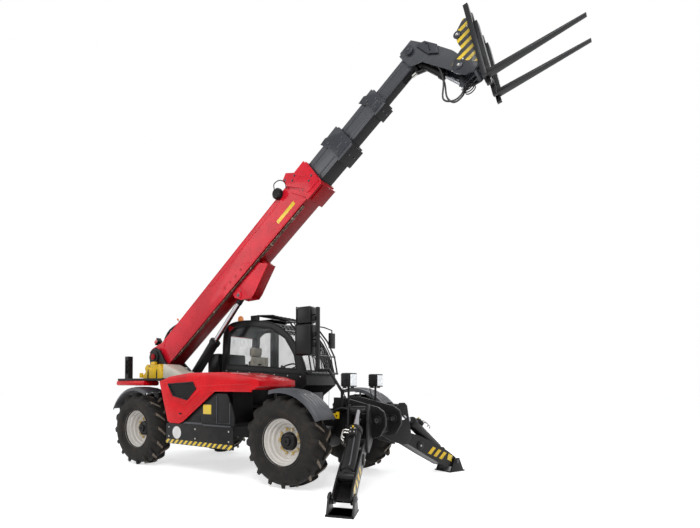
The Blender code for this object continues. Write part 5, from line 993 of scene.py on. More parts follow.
def skirt_trim():
    face = -1.138
    made = Piece("skirt_trim", "chassis", "stripes")
    made.box((-1.972, face - 0.0015, 0.436), (-0.53, face + 0.004, 0.5), 0.0006)
    made.use("white")
    made.cylinder((-1.722, face + 0.002, 0.612), (-1.722, face - 0.0022, 0.612), 0.098, 40)
    made.use("label")
    made.box((-1.155, -1.1145, 0.925), (-0.985, -1.11, 1.065), 0.0008)
    made.use("grey")
    made.plate([(-1.56, 0.762), (-1.52, 0.79), (-1.16, 0.79), (-1.12, 0.762)], -1.15, -1.085, 0.004)
    made.box((-1.12, -1.15, 0.752), (-0.56, -1.1, 0.772))
    step = [(-0.86, 1.2), (-0.86, 0.8), (-0.6, 0.8), (-0.6, 1.1)]
    made.tube([(x, -1.117, z) for x, z in step], 0.009, 8, False)
    made.use("trim")
    made.box((-0.84, -1.116, 0.82), (-0.62, -1.111, 1.18), 0.003)
    for x in (-1.3, -0.95):
        made.box((x - 0.09, -1.116, 0.82), (x + 0.09, -1.111, 0.9), 0.003)
    made.use("zinc")
    for x in (-1.905, -1.3, -0.6):
        for z in (0.545, 0.69):
            made.bolt((x, face - 0.0005, z), (0, -1, 0), 0.01)
    made.done()


def solid_tree(node):
    """The node's faces in world places, for finding points on its surface."""
    held = frame["nodes"][node]
    verts = [held.matrix_world @ vertex.co for vertex in held.data.vertices]
    return BVHTree.FromPolygons(verts, [tuple(face.vertices) for face in held.data.polygons])


def fender_trim():
    """Pressed ridges that follow each fender's top, and its bolts."""
    for corner in WHEELS:
        centre = wheel_centre(corner)
        made = Piece(f"fender_trim_{corner}", f"steered_{corner}", "grey")
        tree = solid_tree(f"fender_{corner}")

        def top(angle, y):
            way = Vector((math.cos(angle), 0, math.sin(angle)))
            origin = Vector((centre.x, centre.y + y, centre.z))
            place = tree.ray_cast(origin + way * 1.6, -way)[0]
            if place is None or (place - origin).length < TYRE_RADIUS:
                return None, way
            return place, way

        for y in (-0.11, -0.04, 0.03, 0.1):
            path = [place - way * 0.001 for place, way in
                    (top(math.radians(15 + 150 * step / 20), y) for step in range(21)) if place]
            if len(path) > 5:
                made.tube(path[1:-1], 0.0055, 6)
        made.use("zinc")
        for angle in (62, 112):
            for y in (-0.075, 0.075):
                place, way = top(math.radians(angle), y)
                if place:
                    made.bolt(place, way, 0.009)
        made.done()


# Boom

def boom_piece(name, body, finish):
    return Piece(name, body, finish, BOOM)


HEAD_PLATE = ((4.16, 0.285), (4.507, -0.14), (4.48, -0.296), (4.24, -0.29), (4.233, -0.18), (4.05, 0.1),
              (4.046, 0.235))
HEAD_BOLTS = ((4.242, 0.115), (4.17, 0.085), (4.44, -0.14), (4.364, -0.165))
HEAD_LINE = ((4.223, 0.031), (4.308, 0.021), (4.376, -0.074))


def boom_head():
    made = boom_piece("boom_head_plates", "boom_root", "boom_red")
    for way in WAYS:
        made.plate(HEAD_PLATE, *flank(way, 0.2, 0.216), 0.004)
        made.tube([(s, way * 0.216, n) for s, n in HEAD_LINE], 0.006, 8, False)
        edge = [(4.03, -0.02), (4.1, -0.16), (4.16, -0.3)]
        made.tube([(s, way * 0.181, n) for s, n in edge], 0.006, 8)
    # The plate under the head takes the red in painted shade.
    made.use("red_under")
    made.box((4.2, -0.15, -0.385), (4.47, 0.15, -0.362), 0.004)
    made.use("dark_metal")
    for way in WAYS:
        for s, n in HEAD_BOLTS:
            made.bolt((s, way * 0.216, n), (0, way, 0), 0.013)
        made.cylinder((4.088, way * 0.205, 0.205), (4.088, way * 0.2175, 0.205), 0.018, 20)
    made.done()


def boom_side():
    """Doubler plates, weld lines, plug holes and stickers on the outer section."""
    made = boom_piece("boom_side_details", "boom_root", "boom_red")
    for way in WAYS:
        doubler = [(2, -0.318), (2.06, -0.16), (2.66, -0.16), (2.76, -0.24), (2.76, -0.318)]
        made.plate(doubler, *flank(way, 0.1795, 0.1835), 0.0015)
        y = way * 0.18
        made.tube([(1.86, y, 0.1), (1.92, y, 0.05), (3.92, y, 0.05), (3.98, y, 0)], 0.0045, 6, False)
        for n in (-0.3, 0.127):
            made.tube([(0.55, y, n), (4.1, y, n)], 0.004, 6, False)
    # These small marks on the side plates take the red in painted shade.
    made.use("red_under")
    for way in WAYS:
        low, high = flank(way, 0.183, 0.1845)
        for s in (2.12, 2.27, 2.42, 2.57):
            for n in (-0.235, -0.205):
                made.box((s - 0.022, low, n), (s + 0.022, high, n + 0.013), 0.0005)
    made.use("label")
    made.box((3.57, -0.1822, -0.215), (3.98, -0.1795, -0.15), 0.0005)
    made.use("dark_metal")
    for s in (0.9, 1.5, 3.1, 3.5):
        for way in WAYS:
            made.cylinder((s, way * 0.178, 0.085), (s, way * 0.1812, 0.085), 0.009, 14)
    made.use("black")
    for way in WAYS:
        low, high = flank(way, 0.06, 0.1)
        made.box((0.42, low, 0.1405), (4.12, high, 0.152), 0.003)
    made.done()


def section_trim():
    """Press folds, wear strips and the collars' side plates and bolts on the boom's sections."""
    names = list(SECTIONS)
    for name, outer in zip(names[1:], names):
        body, half_w, half_d, front, collar, *_ = SECTIONS[name]
        start = SECTIONS[outer][3] - 1.49
        end = collar if collar < front - 0.05 else front - 0.02
        top, bottom = BOOM_MIDDLE + half_d, BOOM_MIDDLE - half_d
        made = boom_piece(f"{name}_folds", body, "section")
        for way in WAYS:
            low, high = flank(way, half_w - 0.001, half_w + 0.0035)
            for share in (0.55, -0.55):
                n = BOOM_MIDDLE + share * half_d
                made.box((start, low, n - 0.009), (end, high, n + 0.009), 0.002)
        made.box((start, -half_w * 0.45, top - 0.001), (end, half_w * 0.45, top + 0.003), 0.002)
        made.use("trim")
        made.box((start, -half_w + 0.006, bottom - 0.002), (end, half_w - 0.006, bottom + 0.001), 0.0005)
        made.done()
    for name, (body, half_w, half_d, front, collar, top, bottom, sides) in SECTIONS.items():
        if front - collar < 0.1:
            continue
        made = boom_piece(f"{name}_collar_fittings", body, "dark_metal")
        centre = (collar + front) / 2
        face = half_w + sides
        cheek = [(collar - 0.05, half_d + 0.035), (collar + 0.06, half_d + 0.045), (front, half_d * 0.25),
                 (front, -half_d * 0.95), (collar + 0.02, -half_d * 0.95), (collar + 0.02, half_d * 0.1)]
        bolts = ((collar + 0.05, half_d * 0.62), (front - 0.06, -half_d * 0.05),
                 (collar + 0.07, -half_d * 0.62), (front - 0.06, -half_d * 0.7))
        for way in WAYS:
            if name != "boom_base":
                made.use("collar")
                low, high = flank(way, face - 0.002, face + 0.008)
                made.plate([(s, BOOM_MIDDLE + n) for s, n in cheek], low, high, 0.003)
                made.use("dark_metal")
                for s, n in bolts:
                    made.bolt((s, way * (face + 0.008), BOOM_MIDDLE + n), (0, way, 0), 0.011)
                low, high = flank(way, face + 0.008, face + 0.01)
                n = BOOM_MIDDLE - half_d * 0.35
                made.box((centre - 0.05, low, n), (centre + 0.05, high, n + 0.014), 0.0008)
            for n in (half_d * 0.4, -half_d * 0.4):
                made.bolt((collar + 0.03, way * face, BOOM_MIDDLE + n), (0, way, 0), 0.009)
        for y in (-half_w * 0.5, half_w * 0.5):
            made.bolt((centre, y, BOOM_MIDDLE + half_d + top), (0, 0, 1), 0.011)
            made.bolt((centre, y, BOOM_MIDDLE - half_d - bottom), (0, 0, -1), 0.011)
        made.done()


def boom_light():
    low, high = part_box("boom_lamp")
    centre = (low + high) / 2
    made = Piece("boom_lamp_rings", "boom_root", "trim")
    ring = [(0.058, -0.03), (0.078, -0.028), (0.082, -0.012), (0.082, 0.018), (0.074, 0.026), (0.058, 0.026)]
    made.turned(ring, centre, (0, -1, 0), 40, closed=True)
    made.tube([centre + Vector((-0.02, -0.05, 0.05)), centre + Vector((-0.01, -0.12, 0.09)),
               boom_place(3.8, -0.19, 0.26), boom_place(3.82, -0.2, 0.2)], 0.008, 8)
    made.done()


# Gooseneck, lift cylinder, rear end and deck

def gooseneck_trim():
    made = boom_piece("gooseneck_details", "boom_last", "collar")
    face = 0.147
    for way in WAYS:
        made.plate([(6.5, -0.06), (6.6, -0.13), (6.66, -0.32), (6.6, -0.42), (6.52, -0.3)],
                   *flank(way, face - 0.002, face + 0.005), 0.002)
        made.use("trim")
        made.tube([(s, way * (face + 0.006), n) for s, n in ((6.56, -0.3), (6.6, -0.2), (6.585, -0.16))],
                  0.006, 8, False)
        made.use("collar")
        made.cap((6.41, way * face, -0.03), (0, way, 0), 0.058, 0.03, 0.018, 0.024)
        made.use("dark_metal")
        made.bolt((6.41, way * (face + 0.024), -0.03), (0, way, 0), 0.014)
        made.cylinder((6.37, way * (face - 0.003), 0.045), (6.37, way * (face + 0.001), 0.045), 0.012, 16)
        made.use("collar")
    made.done()


# Places along the boom, sideways and up from it; the fifth leans with the hose's own offset
HOSE_LOOP = ((6.28, 0.04, -0.21), (6.42, 0.02, -0.33), (6.5, -0.06, -0.5), (6.42, -0.09, -0.74),
             (6.3, -0.09, -0.92), (6.34, -0.07, -1.04), (6.47, -0.04, -1.04), (6.6, 0, -0.9))


def head_hoses():
    """The double hose loop under the gooseneck, from the boom tip to the carriage."""
    made = Piece("gooseneck_hoses", "boom_last", "hose")
    for offset in (-0.022, 0.022):
        path = [boom_place(s + offset * (index == 4), y + offset, n)
                for index, (s, y, n) in enumerate(HOSE_LOOP)]
        made.tube(path, 0.011, 10, True, 8)
    made.use("trim")
    for y in (-0.03, 0, 0.03):
        made.tube([boom_place(6.12, y, -0.205), boom_place(6.26, y, -0.205)], 0.009, 8, False)
    made.use("zinc")
    for y in (0.018, 0.062):
        made.cylinder(boom_place(6.24, y, -0.205), boom_place(6.31, y, -0.225), 0.014, 12)
    made.done()


# The lift cylinder's upper pin in the boom's frame, and its lower one in the world's
LIFT_EYE = (2.236, 0, -0.475)
LIFT_PIN = Vector((-2.9461, 0, 1.11))


def lug_bracket():
    """Web and pin heads of the lift cylinder's bracket, the rod's end block and the barrel's gland."""
    # The web under the boom takes the red in painted shade.
    made = boom_piece("lift_bracket_web", "boom_root", "red_under")
    made.plate([(2.415, -0.685), (2.5, -0.675), (2.96, -0.495), (2.9, -0.325), (2.95, -0.325), (3, -0.5),
                (2.51, -0.69), (2.41, -0.699)], -0.0735, 0.0735, 0.002)
    made.use("boom_red")
    eye_s, _, eye_n = LIFT_EYE
    for way in WAYS:
        made.cap((eye_s, way * 0.1052, eye_n), (0, way, 0), 0.06, 0.046, 0.014, 0.02)
    made.use("dark_metal")
    for way in WAYS:
        seat = (eye_s, way * 0.1052, eye_n)
        made.turned([(0, 0.02), (0.03, 0.02), (0.028, 0.03), (0, 0.03)], seat, (0, way, 0), 24)
        made.bolt((eye_s, way * 0.135, eye_n), (0, way, 0), 0.01)
        made.bolt((2.31, way * 0.1052, -0.44), (0, way, 0), 0.01)
    made.done()
    block = Piece("lift_rod_end", "lift_piston", "trim")
    eye = boom_place(*LIFT_EYE)
    along = (eye - LIFT_PIN).normalized()
    block.cylinder(eye - along * 0.16, eye - along * 0.045, 0.052, 24, 0.006)
    block.done()
    gland = Piece("lift_gland", "lift_cylinder", "trim")
    mouth = LIFT_PIN + along * 1.4
    gland.turned([(0.0465, 0), (0.08, 0), (0.084, 0.004), (0.084, 0.01), (0.06, 0.018), (0.0465, 0.018)],
                 mouth, along, 40, closed=True)
    side = Vector((-along.z, 0, along.x))
    pipe = ((0.14, 0.092), (0.9, 0.094), (1.3, 0.092))
    gland.tube([LIFT_PIN + along * reach - side * off for reach, off in pipe], 0.011, 8, False)
    gland.use("zinc")
    for a in turns(8):
        spot = mouth + (side * math.cos(a) + Vector((0, 1, 0)) * math.sin(a)) * 0.07
        gland.cylinder(spot, spot + along * 0.016, 0.0065, 6)
    gland.use("hose")
    gland.box((-0.035, -0.05, -0.03), (0.035, 0.05, 0.03), 0.008,
              Matrix.Translation(LIFT_PIN + along * 0.3 - side * 0.1)
              @ Matrix.Rotation(math.radians(-48), 4, "Y"))
    gland.done()


def boom_side_lamp():
    """Round black lamp housing with its cable on the boom's upper near edge."""
    made = boom_piece("boom_side_lamp", "boom_root", "trim")
    made.turned([(0, 0), (0.08, 0), (0.088, 0.01), (0.088, 0.06), (0.07, 0.085), (0, 0.092)],
                (3.86, -0.178, 0.15), (0, -1, 0), 36)
    made.tube([(3.86, -0.24, 0.22), (3.92, -0.25, 0.3), (4.02, -0.24, 0.27), (4.06, -0.22, 0.18),
               (4.02, -0.2, 0.1)], 0.008, 8)
    made.use("dark_metal")
    for a in turns(6):
        made.bolt(Vector((3.86, -0.262, 0.15)) + around(a, 0.062), (0, -1, 0), 0.006)
    made.done()


def boom_rear():
    """Pressed lines, tail light, hoses and pivot caps at the boom's rear end."""
    made = boom_piece("boom_rear_details", "boom_root", "boom_red")
    for way in WAYS:
        for line in (((0.4, 0.12), (0.1, -0.05)), ((0.1, -0.05), (0.36, -0.2))):
            made.tube([(s, way * 0.181, n) for s, n in line], 0.007, 8, False)
        low, high = flank(way, 0.178, 0.183)
        made.box((0.36, low, 0.1), (0.44, high, 0.112), 0.001)
    made.use("black")
    made.box((0.1, -0.135, 0.135), (0.14, -0.085, 0.27))
    made.box((0.06, -0.165, 0.25), (0.18, -0.055, 0.265), 0.003)
    made.box((0.165, -0.165, 0.25), (0.18, -0.055, 0.34), 0.003)
    made.use("red_lens")
    made.box((0.065, -0.16, 0.266), (0.163, -0.06, 0.33), 0.012)
    made.use("hose")
    for y in (-0.12, -0.09, 0.1):
        made.tube([(0.2, y, 0.12), (0.34, y, 0.2), (0.5, y, 0.235), (0.64, y, 0.215), (0.8, y, 0.165)],
                  0.012, 10)
    made.use("zinc")
    for y in (-0.12, -0.09, 0.1):
        made.cylinder((0.78, y, 0.172), (0.86, y, 0.158), 0.015, 12)
    made.cylinder((0.82, -0.105, 0.15), (0.82, -0.105, 0.225), 0.012, 10)
    made.box((0.79, -0.14, 0.14), (0.89, -0.07, 0.165))
    made.use("orange")
    made.cylinder((0.82, -0.105, 0.225), (0.82, -0.105, 0.27), 0.016, 14, 0.003)
    made.done()
    # The pivot caps take the red in painted shade.
    caps = Piece("boom_pivot_caps", "chassis", "red_under")
    for way in WAYS:
        place = Vector((BOOM_PIVOT.x, way * 0.292, BOOM_PIVOT.z))
        caps.cap(place, (0, way, 0), 0.058, 0.05, 0.01, 0.016)
        for a in turns(4, 0.5):
            caps.bolt(place + Vector((0, way * 0.015, 0)) + around(a, 0.04), (0, way, 0), 0.008)
    caps.done()


def rear_deck():
    """Straps, hooks, hoses, lamps and labels on the rear deck."""
    made = Piece("rear_deck_fittings", "chassis", "rope")
    low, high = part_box("wheel_chocks")
    middle = (low + high) / 2
    for x in (low.x + 0.15, high.x - 0.16):
        made.tube([(x, y, z) for y, z in (
            (low.y - 0.006, low.z + 0.002), (low.y - 0.006, middle.z), (low.y + 0.02, high.z + 0.006),
            (high.y - 0.02, high.z + 0.006), (high.y + 0.006, middle.z), (high.y + 0.006, low.z + 0.002))],
                  0.011, 8, False)
    made.use("yellow")
    made.plate([(low.x + 0.02, high.z - 0.02), (low.x + 0.09, high.z + 0.05), (low.x + 0.16, high.z - 0.01),
                (low.x + 0.24, high.z + 0.05), (low.x + 0.34, high.z + 0.02), (low.x + 0.44, high.z + 0.05),
                (high.x - 0.02, high.z - 0.05), (high.x - 0.06, high.z - 0.1), (low.x + 0.05, high.z - 0.09)],
               middle.y - 0.085, middle.y + 0.085, 0.012)
    made.box((-3.42, -0.34, 1.72), (-3.3, -0.28, 1.8), 0.01)
    made.cylinder((-3.36, -0.6, 1.49), (-3.36, -0.6, 1.58), 0.035, 20, 0.006)
    made.use("white")
    made.cylinder((-3.22, -0.36, 1.6), (-3.22, -0.36, 1.74), 0.032, 20, 0.006)
    made.use("trim")
    made.box((-3.3, -1, 1.56), (-3.275, -0.9, 1.8), 0.006)
    for z in (1.62, 1.7, 1.78):
        made.box((-3.268, -0.985, z), (-3.244, -0.915, z + 0.03), 0.003)
    made.use("red_lens")
    made.box((-3.318, -0.985, 1.6), (-3.309, -0.925, 1.76), 0.003)
    made.use("label")
    made.plate([(-2.6, 1.654), (-2.42, 1.596), (-2.42, 1.6), (-2.6, 1.658)], -0.5, -0.36, 0)
    made.use("hose")
    for index in range(4):
        y = -0.235 - 0.028 * index
        made.tube([(-2.8, y, 1.3), (-2.72, y, 1.46), (-2.55, y, 1.56), (-2.42, y, 1.6 + 0.02 * index),
                   (-2.3, y, 1.54), (-2.24, y, 1.4)], 0.011, 8)
    made.use("zinc")
    for index in range(4):
        y = -0.235 - 0.028 * index
        made.cylinder((-2.44, y, 1.6 + 0.02 * index), (-2.4, y, 1.598 + 0.02 * index), 0.016, 10)
    made.done()


# Nose and stabilisers

# Places on the left stabiliser; the right one mirrors them
STAB_HINGE = (1.2091, 0.6567, 0.62)
STAB_OUT = (0.342, 0.9397, 0)
BARREL_PIN = (1.4964, 1.4461, 0.345)
BARREL_TOP = (1.2536, 0.779, 0.8756)
ROD_EYE = (1.18, 0.585, 1.03)
FOOT_PIN = (1.5887, 1.6998, 0.165)


def mirrored(place, side):
    return Vector((place[0], SIDES[side] * place[1], place[2]))


def stabiliser_frame(side):
    """x runs out from the hinge over the leg, z is up."""
    out, up = mirrored(STAB_OUT, side), Vector((0, 0, 1))
    made = Matrix((out, up.cross(out), up)).transposed().to_4x4()
    made.translation = mirrored(STAB_HINGE, side)
    return made


def stabiliser_trim(side):
    frame_here = stabiliser_frame(side)
    inverse = frame_here.inverted()

    def places(node):
        held = frame["nodes"][f"{node}_{side}"]
        return [inverse @ (held.matrix_world @ vertex.co) for vertex in held.data.vertices]

    reach = max(abs(v.y) for v in places("stabiliser_leg") if 0.55 < v.x < 0.95)
    made = Piece(f"stabiliser_stripes_{side}", f"stabiliser_arm_{side}", "yellow", frame_here)
    for way in WAYS:
        low, high = flank(way, reach - 0.0005, reach + 0.002)
        for start in (0.47, 0.595, 0.72):
            made.plate([(start + a, -0.165 - 0.37 * (start + a - 0.5) + b) for a, b in
                        ((0, -0.135), (0.065, -0.135), (0.18, 0), (0.115, 0))], low, high, 0.0006)
        made.use("label")
        made.plate([(0.915, -0.415), (1.01, -0.455), (1.04, -0.365), (0.945, -0.325)], low, high, 0.0006)
        made.use("trim")
        made.cap((0.3, way * (reach - 0.001), -0.16), (0, way, 0), 0.07, 0.058, 0.012, 0.018)
        made.use("zinc")
        made.bolt((0.3, way * (reach + 0.017), -0.16), (0, way, 0), 0.012)
        made.use("yellow")
    made.done()
    barrel = Piece(f"stabiliser_fittings_{side}", f"stabiliser_cylinder_{side}", "trim", frame_here)
    pin = inverse @ mirrored(BARREL_PIN, side)
    top = inverse @ mirrored(BARREL_TOP, side)
    along = (top - pin).normalized()
    side_way = Vector((0, 1, 0))
    outward = side_way.cross(along).normalized()
    if outward.z < 0:
        outward = -outward
    place = Matrix.Translation(pin) @ Matrix((side_way, outward, along)).transposed().to_4x4()
    barrel.box((-0.045, 0.078, 0.56), (0.045, 0.135, 0.68), 0.008, place)
    barrel.cylinder((0, 0, 0.755), (0, 0, 0.79), 0.09, 32, 0.004, matrix=place)
    barrel.use("zinc")
    for x in (-0.022, 0.022):
        for z in (0.59, 0.65):
            barrel.cylinder((x, 0.13, z), (x, 0.148, z), 0.011, 6, 0.001, matrix=place)
    barrel.use("dark_metal")
    barrel.tube([(0.025, 0.1, 0.56), (0.03, 0.105, 0.5), (0.03, 0.098, 0.3), (0.03, 0.092, 0.14),
                 (0.02, 0.08, 0.1)], 0.008, 8, matrix=place)
    barrel.use("zinc")
    for z in (0.6, 0.65):
        barrel.tube([(-0.045, 0.11, z), (-0.1, 0.115, z), (-0.12, 0.115, z - 0.03), (-0.12, 0.115, z - 0.1),
                     (-0.09, 0.1, z - 0.13)], 0.008, 8, matrix=place)
    barrel.use("yellow")
    barrel.cylinder((0, 0.135, 0.675), (0, 0.155, 0.675), 0.012, 12, 0.002, matrix=place)
    barrel.done()
    foot = Piece(f"stabiliser_foot_fittings_{side}", f"stabiliser_pad_{side}", "dark_metal", frame_here)
    pivot = inverse @ mirrored(FOOT_PIN, side)
    wide = max(abs(v.y) for v in places("stabiliser_foot") if v.z > -0.5)
    for way in WAYS:
        foot.turned([(0, 0), (0.03, 0), (0.028, 0.012), (0, 0.012)],
                    (pivot.x, way * (wide - 0.001), pivot.z), (0, way, 0), 24)
        foot.bolt((pivot.x, way * (wide + 0.01), pivot.z), (0, way, 0), 0.009)
    foot.done()


def nose_trim():
    made = Piece("nose_fittings", "chassis", "trim")
    for way in WAYS:
        for y, out in ((0.27, way), (0.225, -way)):
            made.turned([(0.034, -0.001), (0.06, -0.001), (0.06, 0.008), (0.054, 0.012), (0.04, 0.012),
                         (0.034, 0.008)], (1.293, way * y, 0.895), (0, out, 0), 36, closed=True)
    made.use("dark_metal")
    for way in WAYS:
        for x, z in ((0.82, 1.05), (0.95, 1), (0.82, 0.8)):
            made.bolt((x, way * 0.27, z), (0, way, 0), 0.012)
    made.use("yellow")
    hook = ((0.646, 0.904), (0.806, 0.904), (0.806, 0.999), (0.766, 0.999), (0.751, 0.974), (0.706, 0.974),
            (0.691, 0.999), (0.666, 0.999))
    made.plate(hook, -0.45, -0.43, 0.003)
    made.use("trim")
    for x in (0.696, 0.771):
        made.cylinder((x, -0.453, 0.944), (x, -0.448, 0.944), 0.013, 16)
    made.box((0.706, -0.432, 0.919), (0.756, -0.268, 0.974), 0.006)
    lines = [(way, index, way * (0.3 + 0.028 * index)) for way in WAYS for index in range(3)]
    made.use("hose")
    for way, index, y in lines:
        made.tube([(0.62, y, 0.98), (0.8, y, 1.03 + 0.01 * index), (0.98, y + way * 0.05, 1.01),
                   (1.1, y + way * 0.12, 0.93), (1.16, y + way * 0.19, 0.9)], 0.01, 8)
    made.use("zinc")
    for way, index, y in lines:
        made.cylinder((1.11, y + way * 0.13, 0.925), (1.15, y + way * 0.175, 0.905), 0.014, 10)
    made.use("trim")
    for step in range(7):
        made.box((0.56 + step * 0.045, -0.292, 1.018), (0.585 + step * 0.045, -0.268, 1.034), 0.002)
    made.done()


def carriage_trim():
    """Pin heads, bolts, a ribbed sleeve and hoses on the fork carriage."""
    made = Piece("carriage_fittings", "fork_carriage", "collar")
    pivot = Vector((2.3326, 0, 5.3154))
    upper = Vector((2.315, 0, 5.7))
    for way in WAYS:
        for spot, radius in ((pivot, 0.05), (upper, 0.046)):
            edge = 0.04 if spot is pivot else 0.038
            made.cap((spot.x, way * 0.1545, spot.z), (0, way, 0), radius, edge, 0.012, 0.018)
    made.use("zinc")
    for way in WAYS:
        made.bolt((pivot.x, way * 0.172, pivot.z), (0, way, 0), 0.012)
        made.bolt((pivot.x + 0.05, way * 0.155, pivot.z + 0.06), (0, way, 0), 0.008)
        made.bolt((upper.x, way * 0.172, upper.z), (0, way, 0), 0.012)
    made.use("trim")
    for step in range(7):
        place = Vector((2.355 + step * 0.012, 0, 5.23 - step * 0.03))
        made.turned([(0.06, -0.006), (0.068, -0.006), (0.068, 0.006), (0.06, 0.006)], place,
                    (0.45, 0, -0.89), 32, closed=True)
    made.use("hose")
    for y in (-0.06, -0.03, 0.03, 0.06):
        made.tube([(2.49, y, 5.72), (2.53, y * 1.4, 5.58), (2.55, y * 1.2, 5.4), (2.58, y, 5.22),
                   (2.6, y * 0.8, 5.1)], 0.009, 8)
    made.done()
    bar = Piece("fork_frame_fittings", "fork_carriage", "zinc")
    rear_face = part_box("fork_frame")[0].x + 0.018
    for way in WAYS:
        bar.bolt((rear_face, way * 0.24, 5.7), (-1, 0, 0), 0.012)
    bar.done()


# Camera, lights and floor

VIEW_PLACE = (4.2219, -6.224, 1.365)
VIEW_YAW = 38.18
VIEW_PITCH = 1.01
VIEW_ROLL = -0.17
VIEW_SHIFT = (0.1084, 0.1604)
LENS = 25.04
SENSOR = 36


def camera():
    data = bpy.data.cameras.new("photo_view")
    data.lens = LENS
    data.sensor_width = SENSOR
    data.shift_x, data.shift_y = VIEW_SHIFT
    made = bpy.data.objects.new("photo_view", data)
    made.location = VIEW_PLACE
    turn = (Matrix.Rotation(math.radians(VIEW_YAW), 4, "Z")
            @ Matrix.Rotation(math.radians(90 + VIEW_PITCH), 4, "X")
            @ Matrix.Rotation(math.radians(-VIEW_ROLL), 4, "Z"))
    made.rotation_euler = turn.to_euler()
    bpy.context.scene.collection.objects.link(made)
    bpy.context.scene.camera = made


def area_light(name, place, aim, size, power):
    data = bpy.data.lights.new(name, "AREA")
    data.shape = "RECTANGLE"
    data.size, data.size_y = size
    data.energy = power
    made = bpy.data.objects.new(name, data)
    made.location = place
    made.rotation_euler = (Vector(aim) - Vector(place)).to_track_quat("-Z", "Y").to_euler()
    bpy.context.scene.collection.objects.link(made)


def seen_rays(tree):
    """1 for rays from the camera, off gloss or through glass."""
    rays = tree.nodes.new("ShaderNodeLightPath")
    kinds = [rays.outputs[name] for name in ("Is Camera Ray", "Is Glossy Ray", "Is Transmission Ray")]
    total = kinds[0]
    for kind in kinds[1:]:
        larger = tree.nodes.new("ShaderNodeMath")
        larger.operation = "MAXIMUM"
        tree.links.new(total, larger.inputs[0])
        tree.links.new(kind, larger.inputs[1])
        total = larger.outputs[0]
    return total


def studio():
    scene = bpy.context.scene
    scene.view_settings.view_transform = "Standard"
    scene.view_settings.look = "None"
    scene.render.film_transparent = False
    world = bpy.data.worlds.new("studio")
    scene.world = world
    world.use_nodes = True
    tree = world.node_tree
    backdrop = tree.nodes["Background"]
    backdrop.inputs["Color"].default_value = (1, 1, 1, 1)
    backdrop.inputs["Strength"].default_value = 1
    ambient = tree.nodes.new("ShaderNodeBackground")
    ambient.inputs["Color"].default_value = (0.93, 0.96, 1, 1)
    ambient.inputs["Strength"].default_value = 0.34
    either = tree.nodes.new("ShaderNodeMixShader")
    tree.links.new(seen_rays(tree), either.inputs[0])
    tree.links.new(ambient.outputs[0], either.inputs[1])
    tree.links.new(backdrop.outputs[0], either.inputs[2])
    tree.links.new(either.outputs[0], tree.nodes["World Output"].inputs["Surface"])
    area_light("key", (4.5, -8.5, 9), (0, 0, 2), (5, 4), 560)
    area_light("fill", (-7, -7, 5), (-1, 0, 1), (6, 5), 170)
    area_light("back", (1, 8, 8), (0, 0, 3), (7, 4), 200)
    area_light("strip", (6.5, -4, 3), (0.5, -0.5, 1), (1, 5), 70)
    sheet = Piece("studio_floor", "chassis", "white")
    sheet.box((-60, -60, -0.02), (60, 60, -0.0005), 0)
    floor = sheet.done()
    floor.parent = None
    finish = Shader("pale_floor", (0.93, 0.93, 0.93), 0.85)
    finish.base(finish.mixed(finish.noise(0.6, 2), (0.97, 0.97, 0.97), (1, 1, 1)))
    finish.surface.inputs["Emission Color"].default_value = (1, 1, 1, 1)
    glow = finish.node("ShaderNodeMath", (0.62, 0), operation="MULTIPLY")
    finish.tree.links.new(seen_rays(finish.tree), glow.socket.node.inputs[1])
    finish.set(finish.surface.inputs["Emission Strength"], glow)
    floor.data.materials.clear()
    floor.data.materials.append(finish.material)
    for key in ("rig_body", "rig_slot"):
        if key in floor:
            del floor[key]


# Finishes and bevels of the nodes whose CAD shape is right as it is
DRESSED = {
    "chassis_frame": ("frame", 0.004), "counterweight": ("frame", 0.006), "engine": ("frame", 0.004),
    "side_skirt": ("trim", 0.003), "left_tank": ("frame", 0), "front_axle": ("frame", 0.003),
    "rear_axle": ("frame", 0.003), "rear_box": ("black", 0), "tank_cover": ("panel", 0.004),
    "rear_cover_right": ("red", 0), "rear_cover_left": ("red", 0), "wheel_chocks": ("yellow", 0.005),
    "bonnet": ("red", 0.005), "bonnet_grille": ("trim", 0), "cab_shell": ("black", 0.004),
    "cab_door": ("black", 0.004), "boom_base": ("boom_red", 0.004), "boom_mid_1": ("section", 0.003),
    "boom_mid_2": ("section", 0.003), "boom_tip": ("section", 0.003), "boom_pipes": ("pipe", 0),
    "boom_lamp": ("black", 0.003), "lift_barrel": ("black", 0.003), "lift_rod": ("chrome", 0),
    "tilt_barrel": ("black", 0.002), "tilt_rod": ("chrome", 0), "carriage": ("collar", 0.003),
    "fork_frame": ("fork", 0.003), "windscreen_guard": ("black", 0), "mirror_post": ("black", 0.003),
    "left_mirror": ("black", 0),
}
for corner in WHEELS:
    DRESSED[f"fender_{corner}"] = ("grey", 0.003)
    DRESSED[f"knuckle_{corner}"] = ("frame", 0.003)
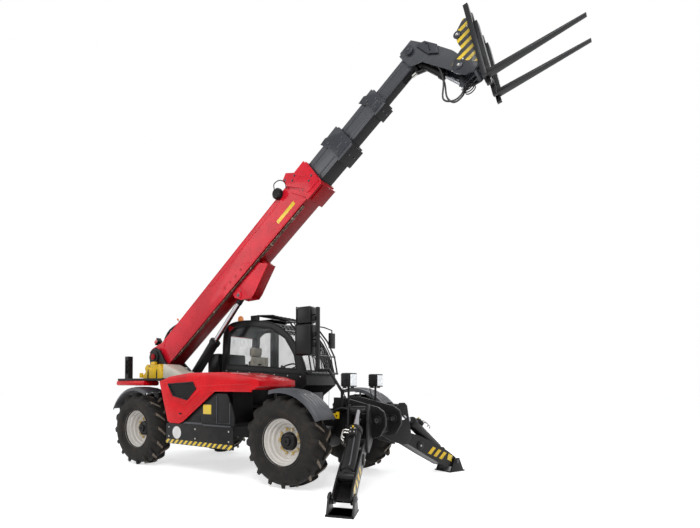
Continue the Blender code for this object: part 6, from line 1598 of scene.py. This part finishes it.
for side in SIDES:
    for part in ("leg", "barrel", "foot"):
        DRESSED[f"stabiliser_{part}_{side}"] = ("black", 0.003)
    DRESSED[f"stabiliser_rod_{side}"] = ("chrome", 0)


def striped_cheek(centre, normal):
    """The carriage's outer cheeks carry stripes from the hook upwards."""
    return "head_stripes" if abs(normal.y) > 0.9 and abs(centre.y) > 0.153 and centre.z > 5.36 else None


def tapered_fork(place):
    """Blades narrow towards their tips."""
    along = min(max((place.x - 2.75) / 0.92, 0), 1)
    middle = math.copysign(0.24, place.y)
    if not along:
        return place.copy()
    return Vector((place.x, middle + (place.y - middle) * (1 - 0.42 * along), place.z))


def under(finish):
    """Faces that look down on a boom section take another finish: on the base section the red in painted
    shade, on the telescopes the black trim.
    """
    down = BOOM.to_3x3() @ Vector((0, 0, -1))
    return lambda centre, normal: finish if normal.dot(down) > 0.8 else None


def rod_eye(pin):
    """The rod's own eye is painted; only the shaft is chrome."""
    return lambda centre, normal: "black" if (centre - pin).length < 0.14 else None


def cab_corner(centre, normal):
    """The rear corners of the cab's roof take the red in painted shade, and faces that look down get a
    near-black finish as painted shade.
    """
    low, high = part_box("cab_shell")
    if normal.z < -0.25:
        return "shade"
    return "red_under" if centre.x < low.x + 0.26 and centre.z > high.z - 0.13 else None


CHOSEN = {
    "cab_shell": cab_corner, "carriage": striped_cheek, "lift_rod": rod_eye(boom_place(*LIFT_EYE)),
    "stabiliser_rod_right": rod_eye(mirrored(ROD_EYE, "right")),
    "stabiliser_rod_left": rod_eye(mirrored(ROD_EYE, "left")),
    # The base section's faces that look down take the red in painted shade.
    "boom_base": under("red_under"), "boom_mid_1": under("trim"), "boom_mid_2": under("trim"),
    "boom_tip": under("trim"),
}


def dress():
    for node, (finish, bevel) in DRESSED.items():
        shape = tapered_fork if node == "fork_frame" else None
        refined(node, finish, bevel, CHOSEN.get(node), shape)


camera()
studio()
dress()
wheels()
glazing()
cabin()
cab_trim()
lights()
mirrors()
bonnet_trim()
skirt_trim()
fender_trim()
boom_head()
boom_side()
section_trim()
boom_light()
gooseneck_trim()
head_hoses()
lug_bracket()
boom_side_lamp()
boom_rear()
rear_deck()
for side in SIDES:
    stabiliser_trim(side)
nose_trim()
carriage_trim()
